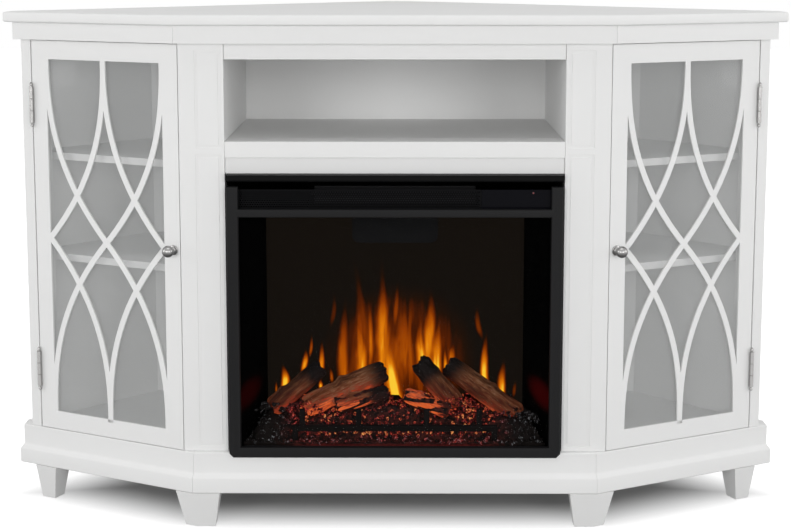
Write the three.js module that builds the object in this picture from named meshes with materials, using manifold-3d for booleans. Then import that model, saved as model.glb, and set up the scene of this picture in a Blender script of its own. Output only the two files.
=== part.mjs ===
// Corner media cabinet with an electric fire, millimetres, +Z up.
// The straight middle of the front faces -Y and lies in the plane y = 0. Two wings fall back from it,
// each with a glazed fretwork door, and the rear closes at a right angle to fit the corner of a room.
// The origin is on the floor, in the middle of the overall width and depth.

import * as THREE from 'three';
import { mergeVertices } from 'three/addons/utils/BufferGeometryUtils.js';
import Module from 'manifold-3d';

const wasm = await Module();
wasm.setup();

// Clearances
const SEAT = 0.3;              // between pieces that rest against each other
const OVERRUN = 2;             // how far a cutting shape runs past what it cuts

// Plan of the carcase
const FASCIA_HALF = 372;       // half width of the straight middle of the front
const WING_RUN = 303;          // how far each wing reaches sideways
const WING_FALL = 147;         // how far each wing falls back
const PILASTER_FACE = 79;      // width of each pilaster beside the middle bay
const BAY_DEPTH = 372;         // front plane to the face of the partition
const SIDE_RETURN = 50;        // how far each short side runs back from the end of its wing
const BACK_BOARD = 15;
const SIDE_BOARD = 18;
const DIVIDER_BOARD = 16;
const PARTITION_BOARD = 15;
const POST_HALF = 22;          // half width of the flat rear face of the corner post
const POST_BUTT = 16;          // how far the post covers each back, along y
const POST_DEPTH = 38;

// Heights
const LEG_HEIGHT = 66;
const BASE_HEIGHT = 72;
const FIRE_OPENING = 493;
const LINTEL_HEIGHT = 28;
const LIP_HEIGHT = 28;
const NICHE_HEIGHT = 141;
const TOP_RAIL_HEIGHT = 28;
const FRIEZE_HEIGHT = 31;
const SLAB_BOARD = 18;
const FLOOR_BOARD = 18;
const NICHE_BOARD = 18;

// Faces and overhangs
const PILASTER_BOARD = 20;
const TOP_RAIL_SET_BACK = 3;
const LINTEL_SET_BACK = 5;
const LIP_BOARD = 18;
const FRIEZE_OVERHANG = 17.3;
const FRIEZE_SIDE_OVERHANG = 11;
const FRIEZE_BOARD = 28.5;
const SLAB_OVERHANG = 33;
const SLAB_SIDE_OVERHANG = 25;
const SLAB_REAR_OVERHANG = 3;
const SLAB_ROUND = 4;
const BASE_FRONT_OVERHANG = 17;
const BASE_WING_OVERHANG = 8;
const BASE_SIDE_OVERHANG = 24.5;
const BASE_BOARD = 28;
const BASE_STEP = 7;           // set-back of the plain band above the moulding
const BASE_BAND = 25;          // height of the projecting band at the foot
const BASE_OGEE = 12;          // height of the moulded curve above it
const BASE_ARRIS = 1.5;

// Routed panels of the pilasters
const ROUTED_INNER_MARGIN = 5;
const ROUTED_OUTER_MARGIN = 29;
const ROUTED_TOP_MARGIN = 12;
const ROUTED_FOOT_MARGIN = 9;
const ROUTED_SPLIT = 11;       // plain gap between the upper and the lower panel
const ROUTED_UPPER_HEIGHT = 168;
const ROUTED_WIDTH = 5;
const ROUTED_DEPTH = 1.2;

// Shelves of the side cabinets
const SHELF_BOARD = 13;
const UPPER_SHELF_SHARE = 0.6823; // of the height inside the cupboards
const LOWER_SHELF_SHARE = 0.4332;
const SHELF_SET_BACK = 30;     // door face to the front edge of a shelf

// Doors
const DOOR_BOARD = 20;
const DOOR_CORNER_GAP = 1;
const HINGE_GAP = 2.5;
const OUTER_STILE_FACE = 21.3;
const DOOR_FOOT_GAP = 1.5;
const DOOR_HEAD_GAP = 2;
const DOOR_STILE = 31.5;
const DOOR_RAIL = 33.2;
const PILASTER_DOOR_GAP = 1.2; // pilaster edge to the corner of the front
const LATTICE_BAR = 10.5;
const LATTICE_BOARD = 3.2;
const LATTICE_BEND = 2.41;     // exponent of the curve that each bar follows
const LATTICE_STEPS = 16;
const GLASS_PANE = 3;
const GLASS_REBATE = 7;
const GLASS_PLAY = 1;

// Knobs and hinges
const KNOB_FROM_EDGE = 12.5;
const KNOB_BALL = 10.3;
const KNOB_REACH = 17;         // door face to the middle of the ball
const KNOB_STEM = 3.8;
const KNOB_ROSETTE = 9;
const KNOB_ROSETTE_THICK = 2;
const BARREL_RADIUS = 4;
const BARREL_LENGTH = 66;
const BARREL_INSET = 0.5;      // hinge axis inside the edge of the door
const BARREL_CLEARANCE = 0.4;
const BARREL_GROOVE = 0.5;
const FINIAL_NECK = 2;
const FINIAL_RADIUS = 3;
const FINIAL_HEIGHT = 8;
const LEAF_THICK = 1.2;
const HINGE_FROM_HEAD = 116;
const HINGE_FROM_FOOT = 110.5;

// Magnetic catches
const CATCH_WIDTH = 22;
const CATCH_DEPTH = 32;
const CATCH_HEIGHT = 14;
const CATCH_FROM_CORNER = 12;
const CATCH_CLEARANCE = 0.6;

// Legs
const LEG_FRONT_FACE = 47.5;
const LEG_FRONT_FOOT = 34;
const LEG_WING_FACE = 35.5;
const LEG_WING_FOOT = 22.5;
const LEG_DEPTH = 44;
const LEG_DEPTH_FOOT = 27;
const LEG_TAPER = 16;          // how far the front faces lean back towards the floor
const OUTER_LEG_FACE = 46;
const OUTER_LEG_END = 11.8;    // from the end of the wing
const OUTER_LEG_FOOT = 29;
const OUTER_LEG_FOOT_END = 12.8;
const REAR_LEG_HALF = 24;
const REAR_LEG_FOOT_HALF = 16;
const REAR_LEG_LENGTH = 46;
const REAR_LEG_FOOT_LENGTH = 32;

// Casing of the electric fire
const CASING_PLAY = 9;         // to each divider
const CASING_DEPTH = 171.5;
const SHEET = 1.5;
const BLOWER_CHAMBER = 58;     // height over the deck, above the fire
const FIRE_FACE = 0.5;         // y of the casing's front edge

// Black front frame, hood, grille, controls and pane of the fire
const TRIM_PLAY = 3;           // to each pilaster
const TRIM_BAR = 20.5;
const TRIM_LAP = 8.5;          // how far the frame laps down over the base
const TRIM_FOOT_BAR = 18.8;
const TRIM_CROSS_BAR = 14.5;
const TRIM_CROSS_DROP = 2;     // lower edge of the cross bar below the deck
const TRIM_TOP_GAP = 8;        // dark slot between the frame and the hood
const TRIM_DEPTH = 14;
const TRIM_BEVEL = 2.5;
const TRIM_CORNER = 7;
const HOOD_HEIGHT = 12;
const HOOD_PROUD = 14;
const HOOD_DEPTH = 30;
const HOOD_ROUND = 3;
const GRILLE_OVERLAP = 5.5;
const GRILLE_HEIGHT = 38;
const GRILLE_SHEET = 2;
const CONTROL_WIDTH = 125;
const CONTROL_THICK = 4;
const PANE_OVERLAP = 6.5;
const PANE_THICK = 4;

// Inside the fire
const SCREEN_SHEET = 1.5;
const SCREEN_PLAY = 8.5;       // to the casing, in front
const SCREEN_TAPER = 35.5;     // how far each side leans in towards the rear
const SCREEN_FRONT = 8;
const SCREEN_DEPTH = 144;
const DEFLECTOR_HALF = 78.5;   // plate on the screen that turns the heater's air forward
const DEFLECTOR_DROP = 76;
const DEFLECTOR_THICK = 2;
const DEFLECTOR_ROUND = 14;
const BED_PLAY = 8.5;          // to the screen, in front
const BED_REAR_PLAY = 1;
const BED_FRONT = 11;
const BED_DEPTH = 129;
const BED_FRONT_RISE = 9;
const BED_REAR_RISE = 60;
const BED_CLIMB = 0.2;         // exponent of the slope behind the ledge
const BED_EDGE = 20;           // how far in from its sides the bed reaches its height
const BED_LEDGE_SHARE = 0.16;  // share of its depth that stays low in front
const BED_LUMP = 3;
const BED_WAVE_ACROSS = 2.1;   // waves of its lumps along a row and from row to row
const BED_WAVE_BACK = 1.3;
const BED_HEAP = 42;           // extra height of the heap of coals in the middle
const BED_HEAP_X = -17;
const BED_HEAP_SPREAD = 78;
const BED_COLUMNS = 34;
const BED_ROWS = 9;
const GRATE_HALF = 182;
const GRATE_BAR = 8;
const GRATE_BAR_RISE = 28;
const GRATE_BAR_HEIGHT = 11;
const GRATE_SET_BACK = 17;
const GRATE_PRONG_SHARES = [-0.9, -0.35, 0.31, 0.82]; // of half the bar's length
const GRATE_PRONG = 10;
const GRATE_PRONG_RISE = 30;   // above the bar
const GRATE_PRONG_DEPTH = 4.5;
const LOG_SIDES = 12;
const LOG_RINGS = 7;
const BARK_DEPTH = 1.4;
const BARK_AROUND = 2.3;       // waves of the bark round a log, along it, and from one log to the next
const BARK_ALONG = 1.7;
const BARK_CHANGE = 1.9;
const THIN_LOG = 17;           // radii of the logs at their ends
const STOUT_LOG = 19;
const THICK_LOG = 21;
const THIN_BRANCH = 12;
const STOUT_BRANCH = 14;
const FLICKER_Y = 162;
const FLICKER_RISE = 56;
const FLICKER_SPINDLE = 2.2;
const FLICKER_PADDLE_REACH = 6.8;
const FLICKER_PADDLE_THICK = 1.2;
const FLICKER_PADDLE_SHARE = 0.76; // of the pitch of the paddles
const FLICKER_END = 80;        // bare spindle at each end
const FLICKER_COUNT = 12;
const BLOWER_Y = 70;
const BLOWER_HOUSING_WIDTH = 300;
const BLOWER_HOUSING_DEPTH = 64;
const BLOWER_HOUSING_HEIGHT = 54;
const BLOWER_MOUTH = 34;
const BLOWER_RADIUS = 20;
const BLOWER_BLADES = 14;
const BLOWER_BLADE_SHARE = 0.78; // root radius of a blade as a share of the wheel's
const BLOWER_END_PLAY = 8;
const BLOWER_SPINDLE = 3;
const INLET_FROM_SIDE = 48;
const INLET_RISE = 56;
const INLET_RADIUS = 10;
const INLET_NOSE = 7;
const INLET_FLANGE = 4;
const INLET_LENGTH = 16;

// Worked out from the sizes above
const BODY_HALF = FASCIA_HALF + WING_RUN;
const BAY_HALF = FASCIA_HALF - PILASTER_FACE;
const WING_ANGLE = Math.atan2(WING_FALL, WING_RUN);
const WING_LENGTH = Math.hypot(WING_FALL, WING_RUN);
const BACK_REACH = BODY_HALF + WING_FALL + SIDE_RETURN; // where the outer faces of the backs would meet
const BACK_INNER = BACK_REACH - BACK_BOARD * Math.SQRT2;
const BACK_SEATED = BACK_INNER - SEAT * Math.SQRT2;
const POST_REAR = BACK_REACH - POST_HALF;
const BASE_TOP = LEG_HEIGHT + BASE_HEIGHT;
const LINTEL_FOOT = BASE_TOP + FIRE_OPENING;
const LIP_FOOT = LINTEL_FOOT + LINTEL_HEIGHT;
const NICHE_FLOOR = LIP_FOOT + LIP_HEIGHT;
const TOP_RAIL_FOOT = NICHE_FLOOR + NICHE_HEIGHT;
const BODY_TOP = TOP_RAIL_FOOT + TOP_RAIL_HEIGHT;
const SLAB_FOOT = BODY_TOP + FRIEZE_HEIGHT;
const STANDING_FOOT = BASE_TOP + SEAT;
const STANDING_TOP = SLAB_FOOT - SEAT;
const FRAME_TOP = BODY_TOP - SEAT;
const CUPBOARD_HEIGHT = SLAB_FOOT - BASE_TOP;
const UPPER_SHELF_TOP = BASE_TOP + CUPBOARD_HEIGHT * UPPER_SHELF_SHARE;
const LOWER_SHELF_TOP = BASE_TOP + CUPBOARD_HEIGHT * LOWER_SHELF_SHARE;
const DOOR_WIDTH = WING_LENGTH - DOOR_CORNER_GAP - OUTER_STILE_FACE - HINGE_GAP;
const DOOR_FOOT = BASE_TOP + DOOR_FOOT_GAP;
const DOOR_HEIGHT = BODY_TOP - DOOR_HEAD_GAP - DOOR_FOOT;
const DOOR_MIDDLE_X = DOOR_CORNER_GAP + DOOR_WIDTH / 2;
const DOOR_MIDDLE_Z = DOOR_FOOT + DOOR_HEIGHT / 2;
const SIGHT_HALF = DOOR_WIDTH / 2 - DOOR_STILE;
const SIGHT_HALF_HEIGHT = DOOR_HEIGHT / 2 - DOOR_RAIL;
const HINGE_X = DOOR_CORNER_GAP + DOOR_WIDTH - BARREL_INSET;
const HINGE_Y = -(BARREL_RADIUS + BARREL_CLEARANCE);
const CASING_HALF = BAY_HALF - CASING_PLAY;
const CASING_FOOT = BASE_TOP + SEAT;
const CASING_TOP = LINTEL_FOOT - HOOD_HEIGHT - 2 * SEAT;
const CASING_REAR = FIRE_FACE + CASING_DEPTH;
const HEARTH = CASING_FOOT + SHEET;
const DECK_Z = CASING_TOP - SHEET - BLOWER_CHAMBER;
const TRIM_HALF = BAY_HALF - TRIM_PLAY;
const TRIM_REAR = FIRE_FACE - SEAT;
const TRIM_FOOT = BASE_TOP - TRIM_LAP;
const TRIM_CROSS_FOOT = DECK_Z - TRIM_CROSS_DROP;
const PANE_HALF = TRIM_HALF - TRIM_BAR;
const GRILLE_FOOT = TRIM_CROSS_FOOT + TRIM_CROSS_BAR - GRILLE_OVERLAP;
const GRILLE_HALF = PANE_HALF + GRILLE_OVERLAP;
const SCREEN_HALF = CASING_HALF - SHEET - SCREEN_PLAY;
const SCREEN_REAR = SCREEN_FRONT + SCREEN_DEPTH;
const BED_FRONT_HALF = SCREEN_HALF - BED_PLAY;
const BED_REAR_HALF = SCREEN_HALF - SCREEN_TAPER - SCREEN_SHEET - BED_REAR_PLAY;
const BED_FOOT = HEARTH + SEAT;

const white = { color: '#e6e6e4', roughness: 0.45, metalness: 0 };
const nickel = { color: '#aaa7a1', roughness: 0.25, metalness: 1 };
const blackSteel = { color: '#1d1d1d', roughness: 0.5, metalness: 0.6 };
const clearGlass = { color: '#dfe6e8', roughness: 0.05, metalness: 0, transparent: true, opacity: 0.3 };
const glossBlack = { color: '#101018', roughness: 0.2, metalness: 0 };
const moulded = { color: '#3a3230', roughness: 0.9, metalness: 0 };
const bark = { color: '#5a4030', roughness: 0.85, metalness: 0 };
const zinc = { color: '#9a9c9e', roughness: 0.45, metalness: 0.8 };

// Solids

function toSolid(geometry) {
  const bare = geometry.clone();
  bare.deleteAttribute('normal');
  bare.deleteAttribute('uv');
  const merged = mergeVertices(bare);
  const corners = merged.index.array;
  const faces = [];
  for (let i = 0; i < corners.length; i += 3) {
    const face = [corners[i], corners[i + 1], corners[i + 2]];
    if (new Set(face).size === 3) faces.push(...face);
  }
  return new wasm.Manifold(new wasm.Mesh({
    numProp: 3,
    vertProperties: new Float32Array(merged.attributes.position.array),
    triVerts: new Uint32Array(faces),
  }));
}

function toGeometry(solid) {
  const mesh = solid.getMesh();
  const geometry = new THREE.BufferGeometry();
  geometry.setAttribute('position', new THREE.BufferAttribute(new Float32Array(mesh.vertProperties), 3));
  geometry.setIndex(new THREE.BufferAttribute(new Uint32Array(mesh.triVerts), 1));
  geometry.computeVertexNormals();
  return geometry;
}

function join(geometries) {
  return toGeometry(geometries.map(toSolid).reduce((whole, next) => whole.add(next)));
}

function cut(geometry, cutters) {
  return toGeometry(cutters.map(toSolid).reduce((rest, cutter) => rest.subtract(cutter), toSolid(geometry)));
}

function block([x0, y0, z0], [x1, y1, z1]) {
  const geometry = new THREE.BoxGeometry(x1 - x0, y1 - y0, z1 - z0);
  return geometry.translate((x0 + x1) / 2, (y0 + y1) / 2, (z0 + z1) / 2);
}

function outline(points) {
  return new THREE.Shape(points.map(([x, y]) => new THREE.Vector2(x, y)));
}

function board(points, foot, top) {
  return new THREE.ExtrudeGeometry(outline(points), { depth: top - foot, bevelEnabled: false })
    .translate(0, 0, foot);
}

// A plate drawn from the front, in x and z, whose front face is at y = front.
function plate(shape, front, thickness, bevel) {
  const options = { depth: thickness - 2 * bevel, bevelEnabled: bevel > 0, bevelThickness: bevel,
    bevelSize: bevel, bevelOffset: -bevel, bevelSegments: 2 };
  return new THREE.ExtrudeGeometry(shape, options).rotateX(Math.PI / 2)
    .translate(0, front + thickness - bevel, 0);
}

// A closed skin over rings of points that all have as many points, each ring seen from ahead
// running anticlockwise, the first ring in front.
function skin(rings) {
  const count = rings[0].length;
  const middle = ring => ring.reduce((sum, point) => sum.map((v, i) => v + point[i] / count), [0, 0, 0]);
  const positions = [...rings.flat(), middle(rings[0]), middle(rings.at(-1))];
  const faces = [];
  for (let r = 0; r + 1 < rings.length; r++) {
    for (let i = 0; i < count; i++) {
      const a = r * count + i;
      const b = r * count + (i + 1) % count;
      faces.push([a, a + count, b], [b, a + count, b + count]);
    }
  }
  const firstHub = rings.length * count;
  const lastRing = firstHub - count;
  for (let i = 0; i < count; i++) {
    faces.push([firstHub, i, (i + 1) % count]);
    faces.push([firstHub + 1, lastRing + (i + 1) % count, lastRing + i]);
  }
  const geometry = new THREE.BufferGeometry();
  geometry.setAttribute('position', new THREE.Float32BufferAttribute(positions.flat(), 3));
  geometry.setIndex(faces.flat());
  if (toSignedVolume(geometry) < 0) {
    geometry.setIndex(faces.map(([a, b, c]) => [a, c, b]).flat());
  }
  geometry.computeVertexNormals();
  return geometry;
}

function toSignedVolume(geometry) {
  const at = i => new THREE.Vector3().fromBufferAttribute(geometry.attributes.position, i);
  const index = geometry.index.array;
  let volume = 0;
  for (let i = 0; i < index.length; i += 3) {
    volume += at(index[i]).dot(at(index[i + 1]).cross(at(index[i + 2]))) / 6;
  }
  return volume;
}

// A moulded board along a plan line. The profile gives [depth behind the line, height]; corners are
// mitred, and an end is cut along the direction that is given for it, less half a seat.
function mouldedBoard(line, profile, startCut, endCut) {
  const direction = (from, to) => new THREE.Vector2(to[0] - from[0], to[1] - from[1]).normalize();
  const rings = line.map((point, i) => {
    const before = i > 0 ? direction(line[i - 1], point) : direction(point, line[i + 1]);
    const after = i + 1 < line.length ? direction(point, line[i + 1]) : before;
    const inward = new THREE.Vector2(-before.y, before.x);
    let mitre = before.clone().add(after).normalize();
    mitre = new THREE.Vector2(-mitre.y, mitre.x);
    if (i === 0) mitre = startCut;
    if (i === line.length - 1) mitre = endCut;
    const step = mitre.clone().divideScalar(mitre.dot(inward));
    const shift = i === 0 ? SEAT / 2 : i === line.length - 1 ? -SEAT / 2 : 0;
    return profile.map(([depth, z]) => [
      point[0] + step.x * depth + before.x * shift,
      point[1] + step.y * depth + before.y * shift, z]);
  });
  return skin(rings);
}

// A solid of revolution about +y, from [radius, height] pairs.
function turned(profile, segments) {
  return new THREE.LatheGeometry(profile.map(([r, h]) => new THREE.Vector2(r, h)), segments);
}

// Plan lines

// Where a line offset outwards from the wing crosses y = -front, and where it crosses x = side.
function wingLine(offset) {
  const start = [FASCIA_HALF + offset * Math.sin(WING_ANGLE), -offset * Math.cos(WING_ANGLE)];
  const slope = Math.tan(WING_ANGLE);
  return {
    atFront: front => [start[0] + (-front - start[1]) / slope, -front],
    atSide: side => [side, start[1] + (side - start[0]) * slope],
  };
}

// The right half of an outline of the front: middle to wing, wing to side, and side to back.
function frontCorners(front, wing, side, backReach) {
  const line = wingLine(wing);
  return [line.atFront(front), line.atSide(side), [side, backReach - side]];
}

const mirrored = points => points.map(([x, y]) => [-x, y]).reverse();
const flipped = direction => new THREE.Vector2(-direction.x, direction.y);
const both = [['right', 1], ['left', -1]];
const handed = (points, side) => (side > 0 ? points : mirrored(points));

// The object

const cabinet = new THREE.Group();
cabinet.name = 'corner_fire_cabinet';

function add(parent, name, geometry, finish) {
  const mesh = new THREE.Mesh(geometry, new THREE.MeshStandardMaterial(finish));
  mesh.name = name;
  parent.add(mesh);
  return mesh;
}

// A frame on the face of a wing: x runs outwards on the right wing and inwards on the left,
// y points into the cabinet and the face is y = 0.
function wingFrame(side) {
  const frame = new THREE.Group();
  frame.position.set(side * FASCIA_HALF, 0, 0);
  frame.rotation.z = side * WING_ANGLE;
  cabinet.add(frame);
  return frame;
}

function addTop() {
  const [corner, end, rear] = frontCorners(SLAB_OVERHANG, SLAB_OVERHANG, BODY_HALF + SLAB_SIDE_OVERHANG,
    BACK_REACH + SLAB_REAR_OVERHANG);
  const tip = POST_HALF + SLAB_REAR_OVERHANG;
  const half = [corner, end, rear, [tip, BACK_REACH + SLAB_REAR_OVERHANG - tip]];
  const options = { depth: SLAB_BOARD - 2 * SLAB_ROUND, bevelThickness: SLAB_ROUND, bevelSize: SLAB_ROUND,
    bevelOffset: -SLAB_ROUND, bevelSegments: 3 };
  const slab = new THREE.ExtrudeGeometry(outline([...half, ...mirrored(half)]), options)
    .translate(0, 0, SLAB_FOOT + SLAB_ROUND);
  add(cabinet, 'top_slab', slab, white);
}

// Boards that wrap the front: the frieze under the top and the moulded base.
function addWrap(names, profile, front, wing, side) {
  const [corner, end, rear] = frontCorners(front, wing, side, BACK_REACH);
  const back = new THREE.Vector2(-1, 1);
  const tangent = new THREE.Vector2(1, 0).add(new THREE.Vector2(Math.cos(WING_ANGLE), Math.sin(WING_ANGLE)));
  const mitre = new THREE.Vector2(-tangent.y, tangent.x);
  const right = [corner, end, rear];
  const middle = [[-corner[0], corner[1]], corner];
  add(cabinet, names[0], mouldedBoard(middle, profile, flipped(mitre), mitre), white);
  add(cabinet, names[1], mouldedBoard(right, profile, mitre, back), white);
  add(cabinet, names[2], mouldedBoard(mirrored(right), profile, flipped(back), flipped(mitre)), white);
}

function addFrieze() {
  const profile = [[0, BODY_TOP], [0, STANDING_TOP], [FRIEZE_BOARD, STANDING_TOP],
    [FRIEZE_BOARD, BODY_TOP]];
  addWrap(['frieze_front', 'frieze_right', 'frieze_left'], profile, FRIEZE_OVERHANG, FRIEZE_OVERHANG,
    BODY_HALF + FRIEZE_SIDE_OVERHANG);
}

function addBase() {
  const bandTop = LEG_HEIGHT + BASE_BAND;
  const ogee = [0, 1, 2, 3, 4, 5, 6].map(i => {
    const share = i / 6;
    const bend = (1 - Math.cos(Math.PI * share)) / 2;
    return [BASE_STEP * bend, bandTop + BASE_OGEE * share];
  });
  const profile = [[BASE_ARRIS, LEG_HEIGHT], [0, LEG_HEIGHT + BASE_ARRIS], ...ogee,
    [BASE_STEP, BASE_TOP - BASE_ARRIS], [BASE_STEP + BASE_ARRIS, BASE_TOP], [BASE_BOARD, BASE_TOP],
    [BASE_BOARD, LEG_HEIGHT]];
  addWrap(['base_front', 'base_right', 'base_left'], profile, BASE_FRONT_OVERHANG, BASE_WING_OVERHANG,
    BODY_HALF + BASE_SIDE_OVERHANG);
}

function addFloor() {
  const inset = BASE_BOARD + SEAT;
  const side = BODY_HALF + BASE_SIDE_OVERHANG - inset;
  const edge = frontCorners(BASE_FRONT_OVERHANG - inset, BASE_WING_OVERHANG - inset, side, BACK_REACH);
  const notch = BODY_HALF - SIDE_BOARD;
  const postFront = POST_REAR - POST_DEPTH - SEAT;
  const half = [...edge, [notch, BACK_REACH - notch], [notch, BACK_SEATED - notch],
    [BACK_SEATED - postFront, postFront]];
  add(cabinet, 'floor_panel', board([...half, ...mirrored(half)], BASE_TOP - FLOOR_BOARD, BASE_TOP), white);
}

function addBacks() {
  const start = BODY_HALF - SIDE_BOARD - SEAT;
  const outerEnd = POST_HALF + POST_BUTT + SEAT / Math.SQRT2;
  const innerEnd = outerEnd - BACK_BOARD / Math.SQRT2;
  const right = [[start, BACK_INNER - start], [start, BACK_REACH - start], [outerEnd, BACK_REACH - outerEnd],
    [innerEnd, BACK_INNER - innerEnd]];
  for (const [hand, side] of both) {
    add(cabinet, `${hand}_back`, board(handed(right, side), LEG_HEIGHT, STANDING_TOP), white);
  }
  const butt = POST_HALF + POST_BUTT;
  const buttInner = butt - BACK_BOARD / Math.SQRT2;
  const front = POST_REAR - POST_DEPTH;
  const post = [[POST_HALF, POST_REAR], [-POST_HALF, POST_REAR], [-butt, BACK_REACH - butt],
    [-buttInner, BACK_INNER - buttInner], [-buttInner, front], [buttInner, front],
    [buttInner, BACK_INNER - buttInner], [butt, BACK_REACH - butt]];
  add(cabinet, 'rear_post', board(post, LEG_HEIGHT, STANDING_TOP), white);
}

function addDividers() {
  const rear = BAY_DEPTH + PARTITION_BOARD;
  const half = [[BACK_SEATED - BAY_DEPTH, BAY_DEPTH], [BACK_SEATED - rear, rear]];
  add(cabinet, 'partition', board([...half, ...mirrored(half)], STANDING_FOOT, STANDING_TOP), white);
  for (const [hand, side] of both) {
    const [near, far] = [side * BAY_HALF, side * (BAY_HALF + DIVIDER_BOARD)];
    const from = [Math.min(near, far), PILASTER_BOARD + SEAT, STANDING_FOOT];
    const to = [Math.max(near, far), BAY_DEPTH - SEAT, STANDING_TOP];
    add(cabinet, `${hand}_divider`, block(from, to), white);
  }
}

function addSides() {
  const corner = [BODY_HALF, WING_FALL];
  const along = OUTER_STILE_FACE;
  const start = [BODY_HALF - along * Math.cos(WING_ANGLE), WING_FALL - along * Math.sin(WING_ANGLE)];
  const line = [start, corner, [BODY_HALF, BACK_REACH - BODY_HALF]];
  const profile = [[0, STANDING_FOOT], [0, FRAME_TOP], [SIDE_BOARD, FRAME_TOP], [SIDE_BOARD, STANDING_FOOT]];
  const square = new THREE.Vector2(-Math.sin(WING_ANGLE), Math.cos(WING_ANGLE));
  const back = new THREE.Vector2(-1, 1);
  const right = mouldedBoard(line, profile, square, back);
  const left = mouldedBoard(mirrored(line), profile, flipped(back), flipped(square));
  add(cabinet, 'right_outer_stile', right, white);
  add(cabinet, 'left_outer_stile', left, white);
}

// A routed channel round a rectangle, as a cutter in front of y = 0.
function routedFrame(x0, x1, z0, z1) {
  const channel = outline([[x0, z0], [x1, z0], [x1, z1], [x0, z1]]);
  const w = ROUTED_WIDTH;
  channel.holes.push(outline([[x0 + w, z0 + w], [x1 - w, z0 + w], [x1 - w, z1 - w], [x0 + w, z1 - w]]));
  return plate(channel, -OVERRUN, OVERRUN + ROUTED_DEPTH, 0);
}

function addPilasters() {
  const edge = FASCIA_HALF - PILASTER_DOOR_GAP;
  const plan = [[BAY_HALF, 0], [edge, 0],
    [edge - PILASTER_BOARD * Math.tan(WING_ANGLE), PILASTER_BOARD], [BAY_HALF, PILASTER_BOARD]];
  const inner = BAY_HALF + ROUTED_INNER_MARGIN;
  const outer = FASCIA_HALF - ROUTED_OUTER_MARGIN;
  const upperTop = BODY_TOP - ROUTED_TOP_MARGIN;
  const upperFoot = upperTop - ROUTED_UPPER_HEIGHT;
  const lowerTop = upperFoot - ROUTED_SPLIT;
  const lowerFoot = BASE_TOP + ROUTED_FOOT_MARGIN;
  for (const [hand, side] of both) {
    const [x0, x1] = side > 0 ? [inner, outer] : [-outer, -inner];
    const blank = board(handed(plan, side), STANDING_FOOT, FRAME_TOP);
    const upper = routedFrame(x0, x1, upperFoot, upperTop);
    const lower = routedFrame(x0, x1, lowerFoot, lowerTop);
    add(cabinet, `${hand}_pilaster`, cut(blank, [upper, lower]), white);
  }
}

function addMiddleRails() {
  const half = BAY_HALF - SEAT;
  add(cabinet, 'top_rail', block([-half, TOP_RAIL_SET_BACK, TOP_RAIL_FOOT],
    [half, PILASTER_BOARD, FRAME_TOP]), white);
  add(cabinet, 'niche_lip', block([-half, 0, LIP_FOOT], [half, LIP_BOARD, NICHE_FLOOR]), white);
  add(cabinet, 'niche_shelf', block([-half, LIP_BOARD + SEAT, NICHE_FLOOR - NICHE_BOARD],
    [half, BAY_DEPTH - SEAT, NICHE_FLOOR]), white);
  add(cabinet, 'fire_lintel', block([-half, LINTEL_SET_BACK, LINTEL_FOOT],
    [half, PILASTER_BOARD, LIP_FOOT - SEAT]), white);
}

function addSideShelves() {
  const inner = BAY_HALF + DIVIDER_BOARD + SEAT;
  const outer = BODY_HALF - SIDE_BOARD - SEAT;
  const front = PILASTER_BOARD + SEAT;
  const rear = BAY_DEPTH - SEAT;
  const edge = wingLine(-SHELF_SET_BACK);
  const plan = [[inner, front], edge.atFront(-front), edge.atSide(outer), [outer, BACK_SEATED - outer],
    [BACK_SEATED - rear, rear], [inner, rear]];
  for (const [hand, side] of both) {
    for (const [place, top] of [['upper', UPPER_SHELF_TOP], ['lower', LOWER_SHELF_TOP]]) {
      add(cabinet, `${hand}_${place}_shelf`, board(handed(plan, side), top - SHELF_BOARD, top), white);
    }
  }
}

// Half-width, at a share of the way up, of the sweep that each lattice bar follows.
const sweepShare = share => (share < 1 ? (1 - share) ** LATTICE_BEND : 0);

// One quarter bar as a flat ribbon: it leaves the line x = from at mid height and turns upright
// beside the line x = to at the rail.
function latticeBar(from, to, up) {
  const centre = [];
  const runOut = LATTICE_BAR / 2 / SIGHT_HALF_HEIGHT;
  for (let i = 0; i <= LATTICE_STEPS; i++) {
    const share = -runOut + (1 + 2 * runOut) * i / LATTICE_STEPS;
    centre.push([to + (from - to) * sweepShare(share), up * share * SIGHT_HALF_HEIGHT]);
  }
  const sides = [1, -1].map(hand => centre.map(([x, z], i) => {
    const ahead = centre[Math.min(i + 1, centre.length - 1)];
    const behind = centre[Math.max(i - 1, 0)];
    const run = Math.hypot(ahead[0] - behind[0], ahead[1] - behind[1]);
    const reach = hand * LATTICE_BAR / 2 / run;
    return [x - (ahead[1] - behind[1]) * reach, z + (ahead[0] - behind[0]) * reach];
  }));
  return plate(outline([...sides[0], ...sides[1].reverse()]), 0, LATTICE_BOARD, 0);
}

// The door as one panel cut from board, about the middle of its face.
function doorPanel() {
  const [w, h] = [DOOR_WIDTH / 2, DOOR_HEIGHT / 2];
  const [u, v] = [SIGHT_HALF, SIGHT_HALF_HEIGHT];
  const rebate = LATTICE_BOARD + SEAT;
  const [rebateHalf, rebateHeight, through] = [u + GLASS_REBATE, v + GLASS_REBATE, DOOR_BOARD + OVERRUN];
  const frame = cut(block([-w, 0, -h], [w, DOOR_BOARD, h]), [
    block([-u, -OVERRUN, -v], [u, through, v]),
    block([-rebateHalf, rebate, -rebateHeight], [rebateHalf, through, rebateHeight]),
  ]);
  const bars = [];
  for (const up of [1, -1]) {
    for (const hand of [1, -1]) {
      bars.push(latticeBar(0, hand * u, up), latticeBar(hand * u, 0, up));
    }
  }
  return join([frame, ...bars]);
}

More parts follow.
